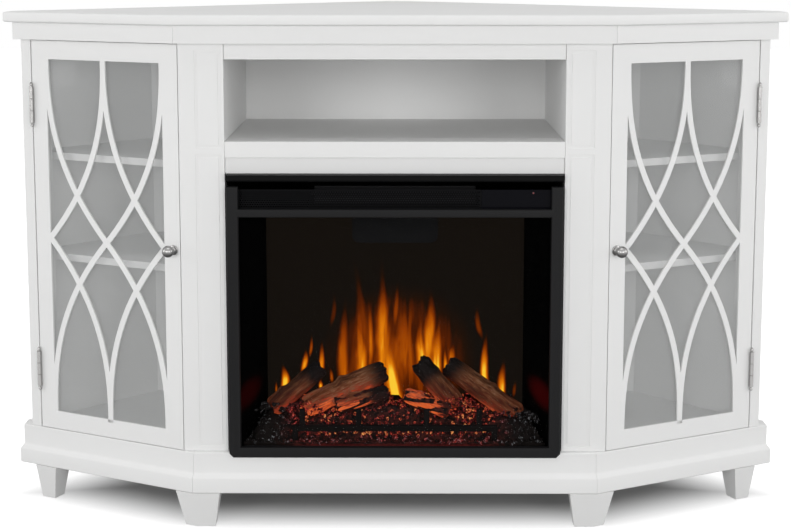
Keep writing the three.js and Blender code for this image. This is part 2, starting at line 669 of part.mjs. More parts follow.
function knob() {
  const profile = [[0, 0], [KNOB_ROSETTE, 0], [KNOB_ROSETTE, KNOB_ROSETTE_THICK],
    [KNOB_STEM, KNOB_ROSETTE_THICK + KNOB_STEM / 2]];
  const neck = Math.asin(KNOB_STEM / KNOB_BALL);
  for (let i = 0; i <= 8; i++) {
    const angle = neck + (Math.PI - neck) * i / 8;
    profile.push([i < 8 ? KNOB_BALL * Math.sin(angle) : 0, KNOB_REACH - KNOB_BALL * Math.cos(angle)]);
  }
  return turned(profile, 24).rotateX(Math.PI);
}

function addDoors() {
  for (const [hand, side] of both) {
    const frame = wingFrame(side);
    const panel = add(frame, `${hand}_door`, doorPanel(), white);
    panel.position.set(side * DOOR_MIDDLE_X, 0, DOOR_MIDDLE_Z);
    const held = GLASS_REBATE - GLASS_PLAY;
    const [w, h] = [SIGHT_HALF + held, SIGHT_HALF_HEIGHT + held];
    const front = LATTICE_BOARD + 2 * SEAT;
    const pane = block([-w, front, -h], [w, front + GLASS_PANE, h]);
    add(frame, `${hand}_door_glass`, pane, clearGlass).position.copy(panel.position);
    const handle = add(frame, `${hand}_door_knob`, knob(), nickel);
    handle.position.set(side * (DOOR_CORNER_GAP + KNOB_FROM_EDGE), -SEAT, DOOR_MIDDLE_Z);
  }
}

function hinge(side) {
  const half = BARREL_LENGTH / 2;
  const knuckle = half / 3;
  const end = [[FINIAL_NECK, half], [FINIAL_NECK, half + FINIAL_HEIGHT / 4],
    [FINIAL_RADIUS, half + FINIAL_HEIGHT / 2], [FINIAL_RADIUS * Math.SQRT1_2, half + FINIAL_HEIGHT * 3 / 4]];
  const upper = [[BARREL_RADIUS, knuckle + BARREL_GROOVE / 2], [BARREL_RADIUS, half], ...end,
    [0, half + FINIAL_HEIGHT]];
  const neck = BARREL_RADIUS - BARREL_GROOVE;
  const groove = [[BARREL_RADIUS, knuckle - BARREL_GROOVE / 2], [neck, knuckle - BARREL_GROOVE / 2],
    [neck, knuckle + BARREL_GROOVE / 2]];
  const top = [...groove, ...upper];
  const foot = top.map(([r, h]) => [r, -h]).reverse();
  const barrel = turned([...foot, ...top], 16).rotateX(Math.PI / 2);
  const near = WING_LENGTH - OUTER_STILE_FACE - HINGE_X - BARREL_CLEARANCE;
  const [x0, x1] = side > 0 ? [near - LEAF_THICK, near] : [-near, LEAF_THICK - near];
  return join([barrel, block([x0, 0, -half], [x1, SIDE_BOARD - HINGE_Y, half])]);
}

function addHinges() {
  for (const [hand, side] of both) {
    const frame = wingFrame(side);
    const upper = DOOR_FOOT + DOOR_HEIGHT - HINGE_FROM_HEAD;
    for (const [place, z] of [['upper', upper], ['lower', DOOR_FOOT + HINGE_FROM_FOOT]]) {
      add(frame, `${hand}_${place}_hinge`, hinge(side), nickel).position.set(side * HINGE_X, HINGE_Y, z);
    }
  }
}

function addCatches() {
  for (const [hand, side] of both) {
    const frame = wingFrame(side);
    const top = UPPER_SHELF_TOP - SHELF_BOARD - SEAT;
    const front = DOOR_BOARD + CATCH_CLEARANCE;
    const [x0, x1] = [CATCH_FROM_CORNER, CATCH_FROM_CORNER + CATCH_WIDTH];
    const [from, to] = side > 0 ? [x0, x1] : [-x1, -x0];
    const body = block([from, front, top - CATCH_HEIGHT], [to, front + CATCH_DEPTH, top]);
    add(frame, `${hand}_catch`, body, zinc);
  }
}

// A leg between a plan outline at the underside of the base and a smaller one on the floor.
function leg(foot, head) {
  return skin([foot.map(([x, y]) => [x, y, 0]), head.map(([x, y]) => [x, y, LEG_HEIGHT - SEAT])]);
}

function addLegs() {
  const [c, s] = [Math.cos(WING_ANGLE), Math.sin(WING_ANGLE)];
  const cornerLeg = (front, wing, frontFace, wingFace, depth) => {
    const [x, y] = wingLine(wing).atFront(front);
    const end = [x + c * wingFace, y + s * wingFace];
    return [[x - frontFace, y], [x, y], end, [end[0] - s * depth, end[1] + c * depth],
      [x - frontFace, y + depth]];
  };
  const outerLeg = (wing, face, end, depth) => {
    const [from, to] = [WING_LENGTH - end - face, WING_LENGTH - end];
    const at = (along, outward) => [FASCIA_HALF + c * along + s * outward, s * along - c * outward];
    return [at(from, wing), at(to, wing), at(to, wing - depth), at(from, wing - depth)];
  };
  const head = cornerLeg(BASE_FRONT_OVERHANG, BASE_WING_OVERHANG, LEG_FRONT_FACE, LEG_WING_FACE, LEG_DEPTH);
  const foot = cornerLeg(BASE_FRONT_OVERHANG - LEG_TAPER, BASE_WING_OVERHANG - LEG_TAPER, LEG_FRONT_FOOT,
    LEG_WING_FOOT, LEG_DEPTH_FOOT);
  const outerHead = outerLeg(BASE_WING_OVERHANG, OUTER_LEG_FACE, OUTER_LEG_END, LEG_DEPTH);
  const outerFoot = outerLeg(BASE_WING_OVERHANG - LEG_TAPER, OUTER_LEG_FOOT, OUTER_LEG_FOOT_END,
    LEG_DEPTH_FOOT);
  for (const [hand, side] of both) {
    add(cabinet, `${hand}_front_leg`, leg(handed(foot, side), handed(head, side)), white);
    add(cabinet, `${hand}_outer_leg`, leg(handed(outerFoot, side), handed(outerHead, side)), white);
  }
  const rearLeg = (half, length, lean) => {
    const [near, far] = [POST_REAR - lean - length, POST_REAR - lean];
    return [[-half, near], [half, near], [half, far], [-half, far]];
  };
  const lean = (REAR_LEG_LENGTH - REAR_LEG_FOOT_LENGTH) / 2;
  add(cabinet, 'rear_leg', leg(rearLeg(REAR_LEG_FOOT_HALF, REAR_LEG_FOOT_LENGTH, lean),
    rearLeg(REAR_LEG_HALF, REAR_LEG_LENGTH, 0)), white);
}

function addFireCasing() {
  const outer = block([-CASING_HALF, FIRE_FACE, CASING_FOOT], [CASING_HALF, CASING_REAR, CASING_TOP]);
  const half = CASING_HALF - SHEET;
  const rear = CASING_REAR - SHEET;
  const [mouth, deckEdge] = [FIRE_FACE - OVERRUN, FIRE_FACE + PANE_THICK + 2 * SEAT];
  const roof = CASING_TOP - SHEET;
  const casing = cut(outer, [
    block([-half, mouth, HEARTH], [half, rear, DECK_Z]),
    block([-half, mouth, DECK_Z + SHEET], [half, rear, roof]),
    block([-half, mouth, HEARTH], [half, deckEdge, roof]),
  ]);
  add(cabinet, 'fire_casing', casing, blackSteel);
}

function addFireFront() {
  const [w, p, c] = [TRIM_HALF, PANE_HALF, TRIM_CORNER];
  const [crossTop, trimTop] = [TRIM_CROSS_FOOT + TRIM_CROSS_BAR, CASING_TOP - TRIM_TOP_GAP];
  const rim = outline([[-w + c, TRIM_FOOT], [w - c, TRIM_FOOT], [w, TRIM_FOOT + c], [w, trimTop],
    [p, trimTop], [p, crossTop], [-p, crossTop], [-p, trimTop], [-w, trimTop], [-w, TRIM_FOOT + c]]);
  const paneFoot = TRIM_FOOT + TRIM_FOOT_BAR;
  rim.holes.push(outline([[-p, paneFoot], [p, paneFoot], [p, TRIM_CROSS_FOOT], [-p, TRIM_CROSS_FOOT]]));
  const aboveBase = block([-w - OVERRUN, BASE_STEP - BASE_FRONT_OVERHANG - SEAT, TRIM_FOOT - OVERRUN],
    [w + OVERRUN, TRIM_REAR + OVERRUN, STANDING_FOOT]);
  const trim = cut(plate(rim, TRIM_REAR - TRIM_DEPTH, TRIM_DEPTH, TRIM_BEVEL), [aboveBase]);
  add(cabinet, 'fire_trim', trim, blackSteel);

  const hoodFoot = CASING_TOP + SEAT;
  const hoodShape = outline([[HOOD_ROUND, 0], [HOOD_DEPTH, 0], [HOOD_DEPTH, HOOD_HEIGHT], [0, HOOD_HEIGHT],
    [0, HOOD_ROUND]]);
  const hood = new THREE.ExtrudeGeometry(hoodShape, { depth: 2 * TRIM_HALF, bevelEnabled: false })
    .rotateX(Math.PI / 2).rotateZ(Math.PI / 2).translate(-TRIM_HALF, -HOOD_PROUD, hoodFoot);
  add(cabinet, 'fire_hood', hood, glossBlack);

  const behind = TRIM_REAR + SEAT;
  const [controlLeft, grilleTop] = [GRILLE_HALF - CONTROL_WIDTH, GRILLE_FOOT + GRILLE_HEIGHT];
  add(cabinet, 'vent_grille', block([-GRILLE_HALF, behind, GRILLE_FOOT],
    [controlLeft - SEAT, behind + GRILLE_SHEET, grilleTop]), blackSteel);
  add(cabinet, 'control_panel', block([controlLeft, behind, GRILLE_FOOT],
    [GRILLE_HALF, behind + CONTROL_THICK, grilleTop]), glossBlack);
  const [paneEdge, paneTop] = [PANE_HALF + PANE_OVERLAP, GRILLE_FOOT - 2 * SEAT];
  add(cabinet, 'fire_glass', block([-paneEdge, behind, paneFoot - PANE_OVERLAP],
    [paneEdge, behind + PANE_THICK, paneTop]), clearGlass);
}

function addFlameScreen() {
  const [t, front, rear] = [SCREEN_SHEET, SCREEN_HALF, SCREEN_HALF - SCREEN_TAPER];
  const half = [[front - t, SCREEN_FRONT], [front, SCREEN_FRONT], [rear, SCREEN_REAR]];
  const inner = [[rear - t, SCREEN_REAR - t], [front - t, SCREEN_FRONT]];
  const plan = [...half, ...mirrored(half), ...mirrored(inner).slice(1), inner[0]];
  const screen = board(plan, HEARTH + SEAT, DECK_Z - SEAT);
  const wall = SCREEN_REAR - t;
  const deflector = plate(deflectorShape(DECK_Z - SEAT), wall - DEFLECTOR_THICK, DEFLECTOR_THICK + t / 2, 0);
  add(cabinet, 'flame_screen', join([screen, deflector]), blackSteel);
}

// The deflector from the front, with its lower corners rounded.
function deflectorShape(top) {
  const [w, r, foot] = [DEFLECTOR_HALF, DEFLECTOR_ROUND, top - DEFLECTOR_DROP];
  const shape = new THREE.Shape();
  shape.moveTo(w, top).lineTo(-w, top).lineTo(-w, foot + r);
  shape.absarc(r - w, foot + r, r, Math.PI, 1.5 * Math.PI, false);
  shape.absarc(w - r, foot + r, r, 1.5 * Math.PI, 2 * Math.PI, false);
  return shape;
}

// Each log: its name, then share of the bed's half width, share of its depth and share of the height of
// the fire at its low end and at its high end, and the radius at each.
const LOG_SHARES = [
  ['rear_left_log', [-0.83, 0.4, 0.135], [-0.5, 0.62, 0.3], THIN_LOG, THIN_LOG],
  ['front_left_log', [-0.61, 0.4, 0.137], [-0.068, 0.56, 0.292], STOUT_LOG, THICK_LOG],
  ['rear_right_log', [0.83, 0.46, 0.095], [0.36, 0.72, 0.302], THICK_LOG, STOUT_LOG],
  ['front_right_log', [0.41, 0.37, 0.152], [0.163, 0.6, 0.32], STOUT_LOG, STOUT_LOG],
];
const BRANCH_SHARES = [
  ['left_branch', [-0.394, 0.26, 0.16], [-0.05, 0.3, 0.217], STOUT_BRANCH, THIN_BRANCH],
  ['right_branch', [0.36, 0.2, 0.14], [0.07, 0.28, 0.208], STOUT_BRANCH, THIN_BRANCH],
];

function inFire([across, back, up]) {
  return new THREE.Vector3(across * BED_FRONT_HALF, BED_FRONT + back * BED_DEPTH,
    BED_FOOT + up * (DECK_Z - BED_FOOT));
}

function log([, low, high, lowRadius, highRadius], seed, grow) {
  const from = inFire(low);
  const axis = inFire(high).sub(from);
  const length = axis.length();
  const rings = [];
  for (let i = 0; i < LOG_RINGS; i++) {
    const share = i / (LOG_RINGS - 1);
    const radius = lowRadius + (highRadius - lowRadius) * share + grow;
    rings.push(Array.from({ length: LOG_SIDES }, (_, j) => {
      const angle = 2 * Math.PI * j / LOG_SIDES;
      const rough = BARK_DEPTH * Math.sin(BARK_CHANGE * seed + BARK_AROUND * j + BARK_ALONG * i);
      return [length * share + grow * (2 * share - 1), (radius + rough) * Math.cos(angle),
        (radius + rough) * Math.sin(angle)];
    }));
  }
  const turn = new THREE.Quaternion().setFromUnitVectors(new THREE.Vector3(1, 0, 0), axis.normalize());
  return { geometry: skin(rings), turn, from };
}

function placed({ geometry, turn, from }) {
  return geometry.clone().applyQuaternion(turn).translate(...from);
}

function emberBed() {
  const surface = (column, row) => {
    const [u, v] = [column / BED_COLUMNS, row / BED_ROWS];
    const half = BED_FRONT_HALF + (BED_REAR_HALF - BED_FRONT_HALF) * v;
    const x = half * (2 * u - 1);
    const climb = Math.max(0, (v - BED_LEDGE_SHARE) / (1 - BED_LEDGE_SHARE));
    const edge = Math.min(1, 2 * half * Math.min(u, 1 - u) / BED_EDGE);
    const heap = BED_HEAP * Math.exp(-(((x - BED_HEAP_X) / BED_HEAP_SPREAD) ** 2)) * Math.sin(Math.PI * v);
    const rise = ((BED_REAR_RISE - BED_FRONT_RISE) * climb ** BED_CLIMB + (climb > 0 ? heap : 0)) * edge;
    const swell = Math.sin(BED_WAVE_ACROSS * column + BED_WAVE_BACK * row);
    const lump = climb > 0 ? BED_LUMP * swell * Math.cos(BED_WAVE_BACK * row - column) : 0;
    return [x, BED_FRONT + BED_DEPTH * v, BED_FOOT + BED_FRONT_RISE + rise + lump];
  };
  const rings = [];
  for (let row = 0; row <= BED_ROWS; row++) {
    const tops = Array.from({ length: BED_COLUMNS + 1 }, (_, column) => surface(column, row));
    const feet = tops.map(([x, y]) => [x, y, BED_FOOT]).reverse();
    rings.push([...tops, ...feet]);
  }
  return skin(rings);
}

function addFireBed() {
  const made = LOG_SHARES.map((entry, i) => log(entry, i, 0));
  made.forEach((piece, i) => {
    const mesh = add(cabinet, LOG_SHARES[i][0], piece.geometry, bark);
    mesh.quaternion.copy(piece.turn);
    mesh.position.copy(piece.from);
  });
  const branches = BRANCH_SHARES.map((entry, i) => placed(log(entry, i, 0)));
  const sockets = LOG_SHARES.map((entry, i) => placed(log(entry, i, 2 * SEAT)));
  const grateSlot = grate(2 * SEAT);
  add(cabinet, 'ember_bed', cut(join([emberBed(), ...branches]), [...sockets, grateSlot]), moulded);
  add(cabinet, 'log_grate', grate(0), blackSteel);
}

// A bar across the front of the coals on a short foot at each end, with prongs on it to hold the logs.
function grate(grow) {
  const bar = BED_FOOT + GRATE_BAR_RISE;
  const top = bar + GRATE_BAR_HEIGHT;
  const front = GRATE_SET_BACK - grow;
  const upright = (x, foot, tip, depth) => block([x - GRATE_PRONG / 2 - grow, front, foot],
    [x + GRATE_PRONG / 2 + grow, GRATE_SET_BACK + depth + grow, tip + grow]);
  const beam = block([-GRATE_HALF - grow, front, bar - grow],
    [GRATE_HALF + grow, GRATE_SET_BACK + GRATE_BAR + grow, top + grow]);
  const feet = [-1, 1].map((side) => upright(side * (GRATE_HALF - GRATE_PRONG / 2),
    BED_FOOT + BED_FRONT_RISE + SEAT, top, GRATE_BAR));
  const prongs = GRATE_PRONG_SHARES.map((prongShare) => upright(prongShare * GRATE_HALF, bar,
    top + GRATE_PRONG_RISE, GRATE_PRONG_DEPTH));
  return join([beam, ...feet, ...prongs]);
}

function addFlickerRod() {
  const half = CASING_HALF - SHEET - SEAT;
  const pieces = [new THREE.CylinderGeometry(FLICKER_SPINDLE, FLICKER_SPINDLE, 2 * half, 12)
    .rotateZ(Math.PI / 2)];
  const pitch = 2 * (CASING_HALF - FLICKER_END) / FLICKER_COUNT;
  for (let i = 0; i < FLICKER_COUNT; i++) {
    const x = (i - (FLICKER_COUNT - 1) / 2) * pitch;
    const [l, r, t] = [pitch * FLICKER_PADDLE_SHARE / 2, FLICKER_PADDLE_REACH, FLICKER_PADDLE_THICK / 2];
    pieces.push(block([x - l, -r, -t], [x + l, r, t]).rotateX(i % 2 * Math.PI / 2));
  }
  add(cabinet, 'flicker_rod', join(pieces), zinc).position.set(0, FLICKER_Y, HEARTH + FLICKER_RISE);
}

function addBlower() {
  const foot = DECK_Z + SHEET + SEAT;
  const [w, d] = [BLOWER_HOUSING_WIDTH / 2, BLOWER_HOUSING_DEPTH / 2];
  const top = foot + BLOWER_HOUSING_HEIGHT;
  const housing = cut(block([-w, BLOWER_Y - d, foot], [w, BLOWER_Y + d, top]), [
    block([SHEET - w, BLOWER_Y - d + SHEET, foot + SHEET], [w - SHEET, BLOWER_Y + d - SHEET, top - SHEET]),
    block([SHEET - w, BLOWER_Y - d - OVERRUN, foot + (BLOWER_HOUSING_HEIGHT - BLOWER_MOUTH) / 2],
      [w - SHEET, BLOWER_Y, top - (BLOWER_HOUSING_HEIGHT - BLOWER_MOUTH) / 2]),
  ]);
  add(cabinet, 'blower_housing', housing, blackSteel);
  const teeth = [];
  for (let i = 0; i < 2 * BLOWER_BLADES; i++) {
    const angle = Math.PI * i / BLOWER_BLADES;
    const radius = i % 2 ? BLOWER_RADIUS * BLOWER_BLADE_SHARE : BLOWER_RADIUS;
    teeth.push([radius * Math.cos(angle), radius * Math.sin(angle)]);
  }
  const length = 2 * (w - BLOWER_END_PLAY);
  const drum = new THREE.ExtrudeGeometry(outline(teeth), { depth: length, bevelEnabled: false })
    .translate(0, 0, -length / 2).rotateY(Math.PI / 2);
  const spindle = new THREE.CylinderGeometry(BLOWER_SPINDLE, BLOWER_SPINDLE, 2 * (w - SHEET - SEAT), 12)
    .rotateZ(Math.PI / 2);
  add(cabinet, 'blower_wheel', join([drum, spindle]), glossBlack)
    .position.set(0, BLOWER_Y, foot + BLOWER_HOUSING_HEIGHT / 2);
}

function addPowerInlet() {
  const profile = [[0, 0], [INLET_RADIUS, 0], [INLET_RADIUS, INLET_FLANGE], [INLET_NOSE, INLET_FLANGE],
    [INLET_NOSE, INLET_LENGTH], [0, INLET_LENGTH]];
  add(cabinet, 'power_inlet', turned(profile, 20), glossBlack)
    .position.set(CASING_HALF - INLET_FROM_SIDE, CASING_REAR + SEAT, HEARTH + INLET_RISE);
}

addTop();
addFrieze();
addBase();
addFloor();
addBacks();
addDividers();
addSides();
addPilasters();
addMiddleRails();
addSideShelves();
addLegs();
addDoors();
addHinges();
addCatches();
addFireCasing();
addFireFront();
addFlameScreen();
addFireBed();
addFlickerRod();
addBlower();
addPowerInlet();

// The origin lies midway between the front edge of the top and its rear tip.
cabinet.position.y = (SLAB_OVERHANG - POST_REAR) / 2;

export default cabinet;
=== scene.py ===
"""Corner media cabinet with an electric fire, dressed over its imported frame.

Everything is in metres in the frame's own axes: the straight middle of the front faces -Y.
"""

import math

import bmesh
import bpy
from bpy.props import FloatProperty, FloatVectorProperty, IntProperty, PointerProperty
from mathutils import Matrix, Vector, noise


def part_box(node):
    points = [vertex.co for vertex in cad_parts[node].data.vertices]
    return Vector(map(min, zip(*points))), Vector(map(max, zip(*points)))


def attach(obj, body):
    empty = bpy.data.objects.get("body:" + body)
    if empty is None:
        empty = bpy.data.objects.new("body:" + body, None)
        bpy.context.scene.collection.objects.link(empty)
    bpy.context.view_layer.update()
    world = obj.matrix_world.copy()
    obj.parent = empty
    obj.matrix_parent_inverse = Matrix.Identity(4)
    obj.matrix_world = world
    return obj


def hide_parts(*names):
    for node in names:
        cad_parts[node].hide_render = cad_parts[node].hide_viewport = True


bl_info = {
    "name": "Corner fire cabinet",
    "version": (1, 0, 0),
    "blender": (4, 5, 0),
    "location": "View3D > Sidebar > Cabinet",
    "description": "Paint, glass, metal and a glowing fire for a corner media cabinet",
    "category": "Object",
}

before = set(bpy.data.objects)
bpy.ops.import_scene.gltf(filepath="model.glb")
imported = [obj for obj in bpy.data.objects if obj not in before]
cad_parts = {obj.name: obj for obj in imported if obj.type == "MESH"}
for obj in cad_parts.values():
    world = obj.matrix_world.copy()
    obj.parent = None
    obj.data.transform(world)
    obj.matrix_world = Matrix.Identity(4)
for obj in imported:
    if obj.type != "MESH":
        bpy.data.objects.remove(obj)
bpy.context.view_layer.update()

MM = 0.001
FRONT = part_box("niche_lip")[0].y  # the plane of the straight middle
FASCIA_HALF = 372 * MM

# The plan of a wing and the gaps beside its door, in millimetres
WING_RUN, WING_FALL = 303, 147
WING_LENGTH = math.hypot(WING_RUN, WING_FALL)
WING_ANGLE = math.atan2(WING_FALL, WING_RUN)
OUTER_STILE_FACE = 21.3
CORNER_GAP, HINGE_GAP = 1, 2.5

DOOR_FOOT, DOOR_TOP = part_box("right_door")[0].z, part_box("right_door")[1].z
DOOR_MIDDLE = (DOOR_FOOT + DOOR_TOP) / 2
DOOR_HALF_WIDTH = (WING_LENGTH - CORNER_GAP - OUTER_STILE_FACE - HINGE_GAP) / 2 * MM
DOOR_HALF_HEIGHT = (DOOR_TOP - DOOR_FOOT) / 2
BASE_INSIDE = 671.5 * MM  # x of the inner face of the base's returns
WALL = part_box("rear_post")[1].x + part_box("right_back")[1].y  # x + y on the outside of the right back
SIDES = (("right", 1), ("left", -1))
FACING = Matrix.Rotation(math.pi / 2, 4, "X")  # turns a shape's z toward the room

PAINTED = """top_slab frieze_front frieze_right frieze_left base_front base_right base_left floor_panel
right_back left_back rear_post partition right_divider left_divider right_outer_stile left_outer_stile
right_pilaster left_pilaster top_rail niche_lip niche_shelf fire_lintel right_upper_shelf
right_lower_shelf left_upper_shelf left_lower_shelf right_front_leg right_outer_leg left_front_leg
left_outer_leg rear_leg""".split()
CLOSE_FITTED = """frieze_front frieze_right frieze_left base_front base_right base_left right_pilaster
left_pilaster""".split()


# Settings


def metres(name, description, default, low=0.0, high=1.0):
    return FloatProperty(name=name, description=description, default=default, min=low, max=high,
                         unit="LENGTH", subtype="DISTANCE", precision=4)


def share(name, description, default):
    return FloatProperty(name=name, description=description, default=default, min=0.0, max=1.0,
                         subtype="FACTOR")


def colour(name, description, default):
    return FloatVectorProperty(name=name, description=description, default=default, size=3, min=0.0,
                               max=1.0, subtype="COLOR")


class CabinetPaintwork(bpy.types.PropertyGroup):
    """Painted boards, doors and glass"""

    paint: colour("Paint", "Colour of the satin paint", (0.83, 0.83, 0.825))
    sheen: share("Roughness", "Roughness of the satin paint", 0.5)
    arris: metres("Arris", "Rounding of the sawn edges of the boards", 0.6 * MM)
    close_arris: metres("Close arris", "Rounding of the boards that meet in a mitre or carry a routed panel",
                        0.25 * MM)
    peel: metres("Peel", "Height of the fine unevenness of the sprayed paint", 0.02 * MM)
    door_stile: metres("Door stile", "Width of the upright sides of the doors", 31.5 * MM)
    door_rail: metres("Door rail", "Height of the top and the foot of the doors", 33.2 * MM)
    meeting: metres("Meeting edge", "How far the door's free edge reaches into its gap", 0.7 * MM)
    bar_width: metres("Fretwork bar width", "Width of the curved bars in the doors", 10.5 * MM)
    bar_depth: metres("Fretwork bar depth", "Depth of the curved bars in the doors", 3.2 * MM)
    bar_round: metres("Fretwork rounding", "Rounding of the edges of the doors and their bars", 0.4 * MM)
    bar_sweep: FloatProperty(name="Fretwork sweep", description="Exponent of the curve that the bars follow",
                             default=2.41, min=1.0, max=5.0)
    glass: colour("Glass", "Tint of the door glass", (0.78, 0.80, 0.80))


class CabinetMetalwork(bpy.types.PropertyGroup):
    """Knobs, hinges, catches and the black front of the fire"""

    nickel: colour("Nickel", "Colour of the satin nickel", (0.36, 0.355, 0.35))
    coating: colour("Powder coat", "Colour of the black powder coat", (0.0052, 0.0052, 0.0056))
    perforation: metres("Perforation", "Diameter of the holes in the grille", 2.5 * MM)
    pitch: metres("Pitch", "Distance from hole to hole in the grille", 4.2 * MM)
    screw_pitch: metres("Screw pitch", "Distance from screw to screw on the back boards", 148 * MM)
    indicator: colour("Indicator", "Colour of the small indicator lamp", (0.06, 0.003, 0.004))


class CabinetFire(bpy.types.PropertyGroup):
    """Flames, logs and embers"""

    flame: colour("Flame", "Colour of the body of the flames", (0.78, 0.22, 0.003))
    core: colour("Flame core", "Colour of the brightest part of the flames", (1.0, 0.60, 0.035))
    ember: colour("Embers", "Colour of the glow between the coals", (0.44, 0.032, 0.022))
    screen: colour("Screen", "Colour of the unlit screen", (0.0062, 0.0045, 0.0032))
    bark: colour("Bark", "Middle colour of the moulded bark", (0.114, 0.044, 0.018))
    coals: IntProperty(name="Coals", description="Number of loose coals on the bed", default=2200, min=0,
                       max=4000)
    coal_size: metres("Coal size", "Size of a loose coal across", 8.5 * MM)


class CabinetStage(bpy.types.PropertyGroup):
    """Floor, lamps and camera"""

    lens: metres("Lens", "Focal length of the camera", 68.04 * MM, 0.01, 0.3)
    daylight: FloatProperty(name="Daylight", description="Strength of the even light all round",
                            default=0.36, min=0.0, max=3.0)


SETTINGS = {"cabinet_paintwork": CabinetPaintwork, "cabinet_metalwork": CabinetMetalwork,
            "cabinet_fire": CabinetFire, "cabinet_stage": CabinetStage}


# Node trees


class Wire:
    """An output socket in a node tree. Arithmetic on it adds Math nodes."""

    def __init__(self, nodes, socket):
        self.nodes = nodes
        self.socket = socket

    def maths(self, operation, *values):
        return self.nodes.node("ShaderNodeMath", {"operation": operation}, dict(enumerate(values)))

    def __add__(self, other):
        return self.maths("ADD", self, other)

    def __radd__(self, other):
        return self.maths("ADD", other, self)

    def __sub__(self, other):
        return self.maths("SUBTRACT", self, other)

    def __rsub__(self, other):
        return self.maths("SUBTRACT", other, self)

    def __mul__(self, other):
        return self.maths("MULTIPLY", self, other)

    def __rmul__(self, other):
        return self.maths("MULTIPLY", other, self)

    def __truediv__(self, other):
        return self.maths("DIVIDE", self, other)

    def __pow__(self, other):
        return self.maths("POWER", self, other)

    def __abs__(self):
        return self.maths("ABSOLUTE", self)

    def __floor__(self):
        return self.maths("FLOOR", self)

    def at_least(self, low):
        return self.maths("MAXIMUM", self, low)

    def clamped(self):
        return self.maths("MINIMUM", self.at_least(0.0), 1.0)


class Nodes:
    """Adds nodes to one tree, of a material or of a geometry modifier."""

    def __init__(self, tree):
        self.tree = tree

    def node(self, kind, settings=None, sockets=None, output=0):
        made = self.tree.nodes.new(kind)
        for name, value in (settings or {}).items():
            if name == "stops":
                self.set_stops(made.color_ramp, value)
            else:
                setattr(made, name, value)
        for key, value in (sockets or {}).items():
            for each in value if isinstance(value, list) else [value]:
                if isinstance(each, Wire):
                    self.tree.links.new(each.socket, made.inputs[key])
                else:
                    made.inputs[key].default_value = each
        return Wire(self, made.outputs[output])

    @staticmethod
    def set_stops(ramp, stops):
        while len(ramp.elements) < len(stops):
            ramp.elements.new(1.0)
        for element, (position, shade) in zip(ramp.elements, stops):
            element.position = position
            element.color = (*shade, 1.0)

    def blend(self, factor, first, second, how="MIX"):
        """Mixes two colours, or with another blend type joins the second to the first."""
        made = self.tree.nodes.new("ShaderNodeMix")
        made.data_type, made.blend_type = "RGBA", how
        for index, value in ((0, factor), (6, first), (7, second)):
            if isinstance(value, Wire):
                self.tree.links.new(value.socket, made.inputs[index])
            else:
                made.inputs[index].default_value = (*value, 1.0) if index else value
        return Wire(self, made.outputs[2])

    def vector(self, operation, first, second, output=0):
        """Vector arithmetic, or the number that it gives from output 1. To scale, second is a factor."""
        key = 3 if operation == "SCALE" else 1
        return self.node("ShaderNodeVectorMath", {"operation": operation}, {0: first, key: second}, output)

    def attribute(self, name):
        """A number that the mesh carries."""
        return self.node("ShaderNodeAttribute", {"attribute_name": name}, None, 2)

    def seen(self):
        """1 for what the camera sees, also in metal and through glass."""
        path = self.tree.nodes.new("ShaderNodeLightPath")
        camera, glossy, through = (Wire(self, path.outputs[f"Is {kind} Ray"])
                                   for kind in ("Camera", "Glossy", "Transmission"))
        return camera.at_least(glossy).at_least(through)

    def ramp(self, factor, stops):
        return self.node("ShaderNodeValToRGB", {"stops": stops}, {0: factor})

    def span(self, value, start, end, low=0.0, high=1.0):
        """Low at start and high at end, smoothly."""
        return self.node("ShaderNodeMapRange", {"interpolation_type": "SMOOTHSTEP"},
                         {0: value, 1: start, 2: end, 3: low, 4: high})


class Finish(Nodes):
    """A material of one Principled surface whose patterns read object coordinates."""

    def __init__(self, name, **constants):
        self.material = bpy.data.materials.new(name)
        self.material.use_nodes = True
        super().__init__(self.material.node_tree)
        self.tree.nodes.clear()
        self.surface = self.tree.nodes.new("ShaderNodeBsdfPrincipled")
        self.out = self.tree.nodes.new("ShaderNodeOutputMaterial")
        self.tree.links.new(self.surface.outputs[0], self.out.inputs[0])
        self.place = self.node("ShaderNodeTexCoord", output=3)
        for name, value in constants.items():
            self.set(name.replace("_", " "), value)

    def set(self, name, value):
        socket = self.surface.inputs[name]
        if isinstance(value, Wire):
            self.tree.links.new(value.socket, socket)
        else:
            socket.default_value = (*value, 1.0) if isinstance(value, tuple) else value

    def noise(self, scale, detail=2.0, roughness=0.5, at=None, distortion=0.0):
        return self.node("ShaderNodeTexNoise", None, {
            "Vector": at or self.place, "Scale": scale, "Detail": detail, "Roughness": roughness,
            "Distortion": distortion})

    def stretched(self, scale, at=None):
        return self.vector("MULTIPLY", at or self.place, scale)

    def axes(self):
        split = self.node("ShaderNodeSeparateXYZ", None, {0: self.place})
        return [Wire(self, socket) for socket in split.socket.node.outputs]

    def bump(self, height, distance, strength=1.0):
        self.set("Normal", self.node("ShaderNodeBump", None, {
            "Strength": strength, "Distance": distance, "Height": height}))


# Finishes


def satin_paint():
    look = bpy.context.scene.cabinet_paintwork
    finish = Finish("satin_paint", Specular_IOR_Level=0.25)
    cloud = finish.noise(3.0, 2.0)
    paint = tuple(look.paint)
    finish.set("Base Color", finish.blend(cloud, paint, tuple(c * 0.975 for c in paint)))
    peel = finish.noise(420.0, 3.0, 0.6)
    finish.set("Roughness", look.sheen - 0.05 + 0.1 * finish.noise(60.0, 3.0))
    finish.bump(peel, look.peel, 0.5)
    return finish.material


def clear_glass(name, tint, alpha, shine=0.5):
    finish = Finish(name, Base_Color=tint, Specular_IOR_Level=shine)
    smear = finish.noise(14.0, 3.0)
    finish.set("Roughness", finish.span(smear, 0.4, 0.8, 0.02, 0.06))
    finish.set("Alpha", alpha)
    return finish.material


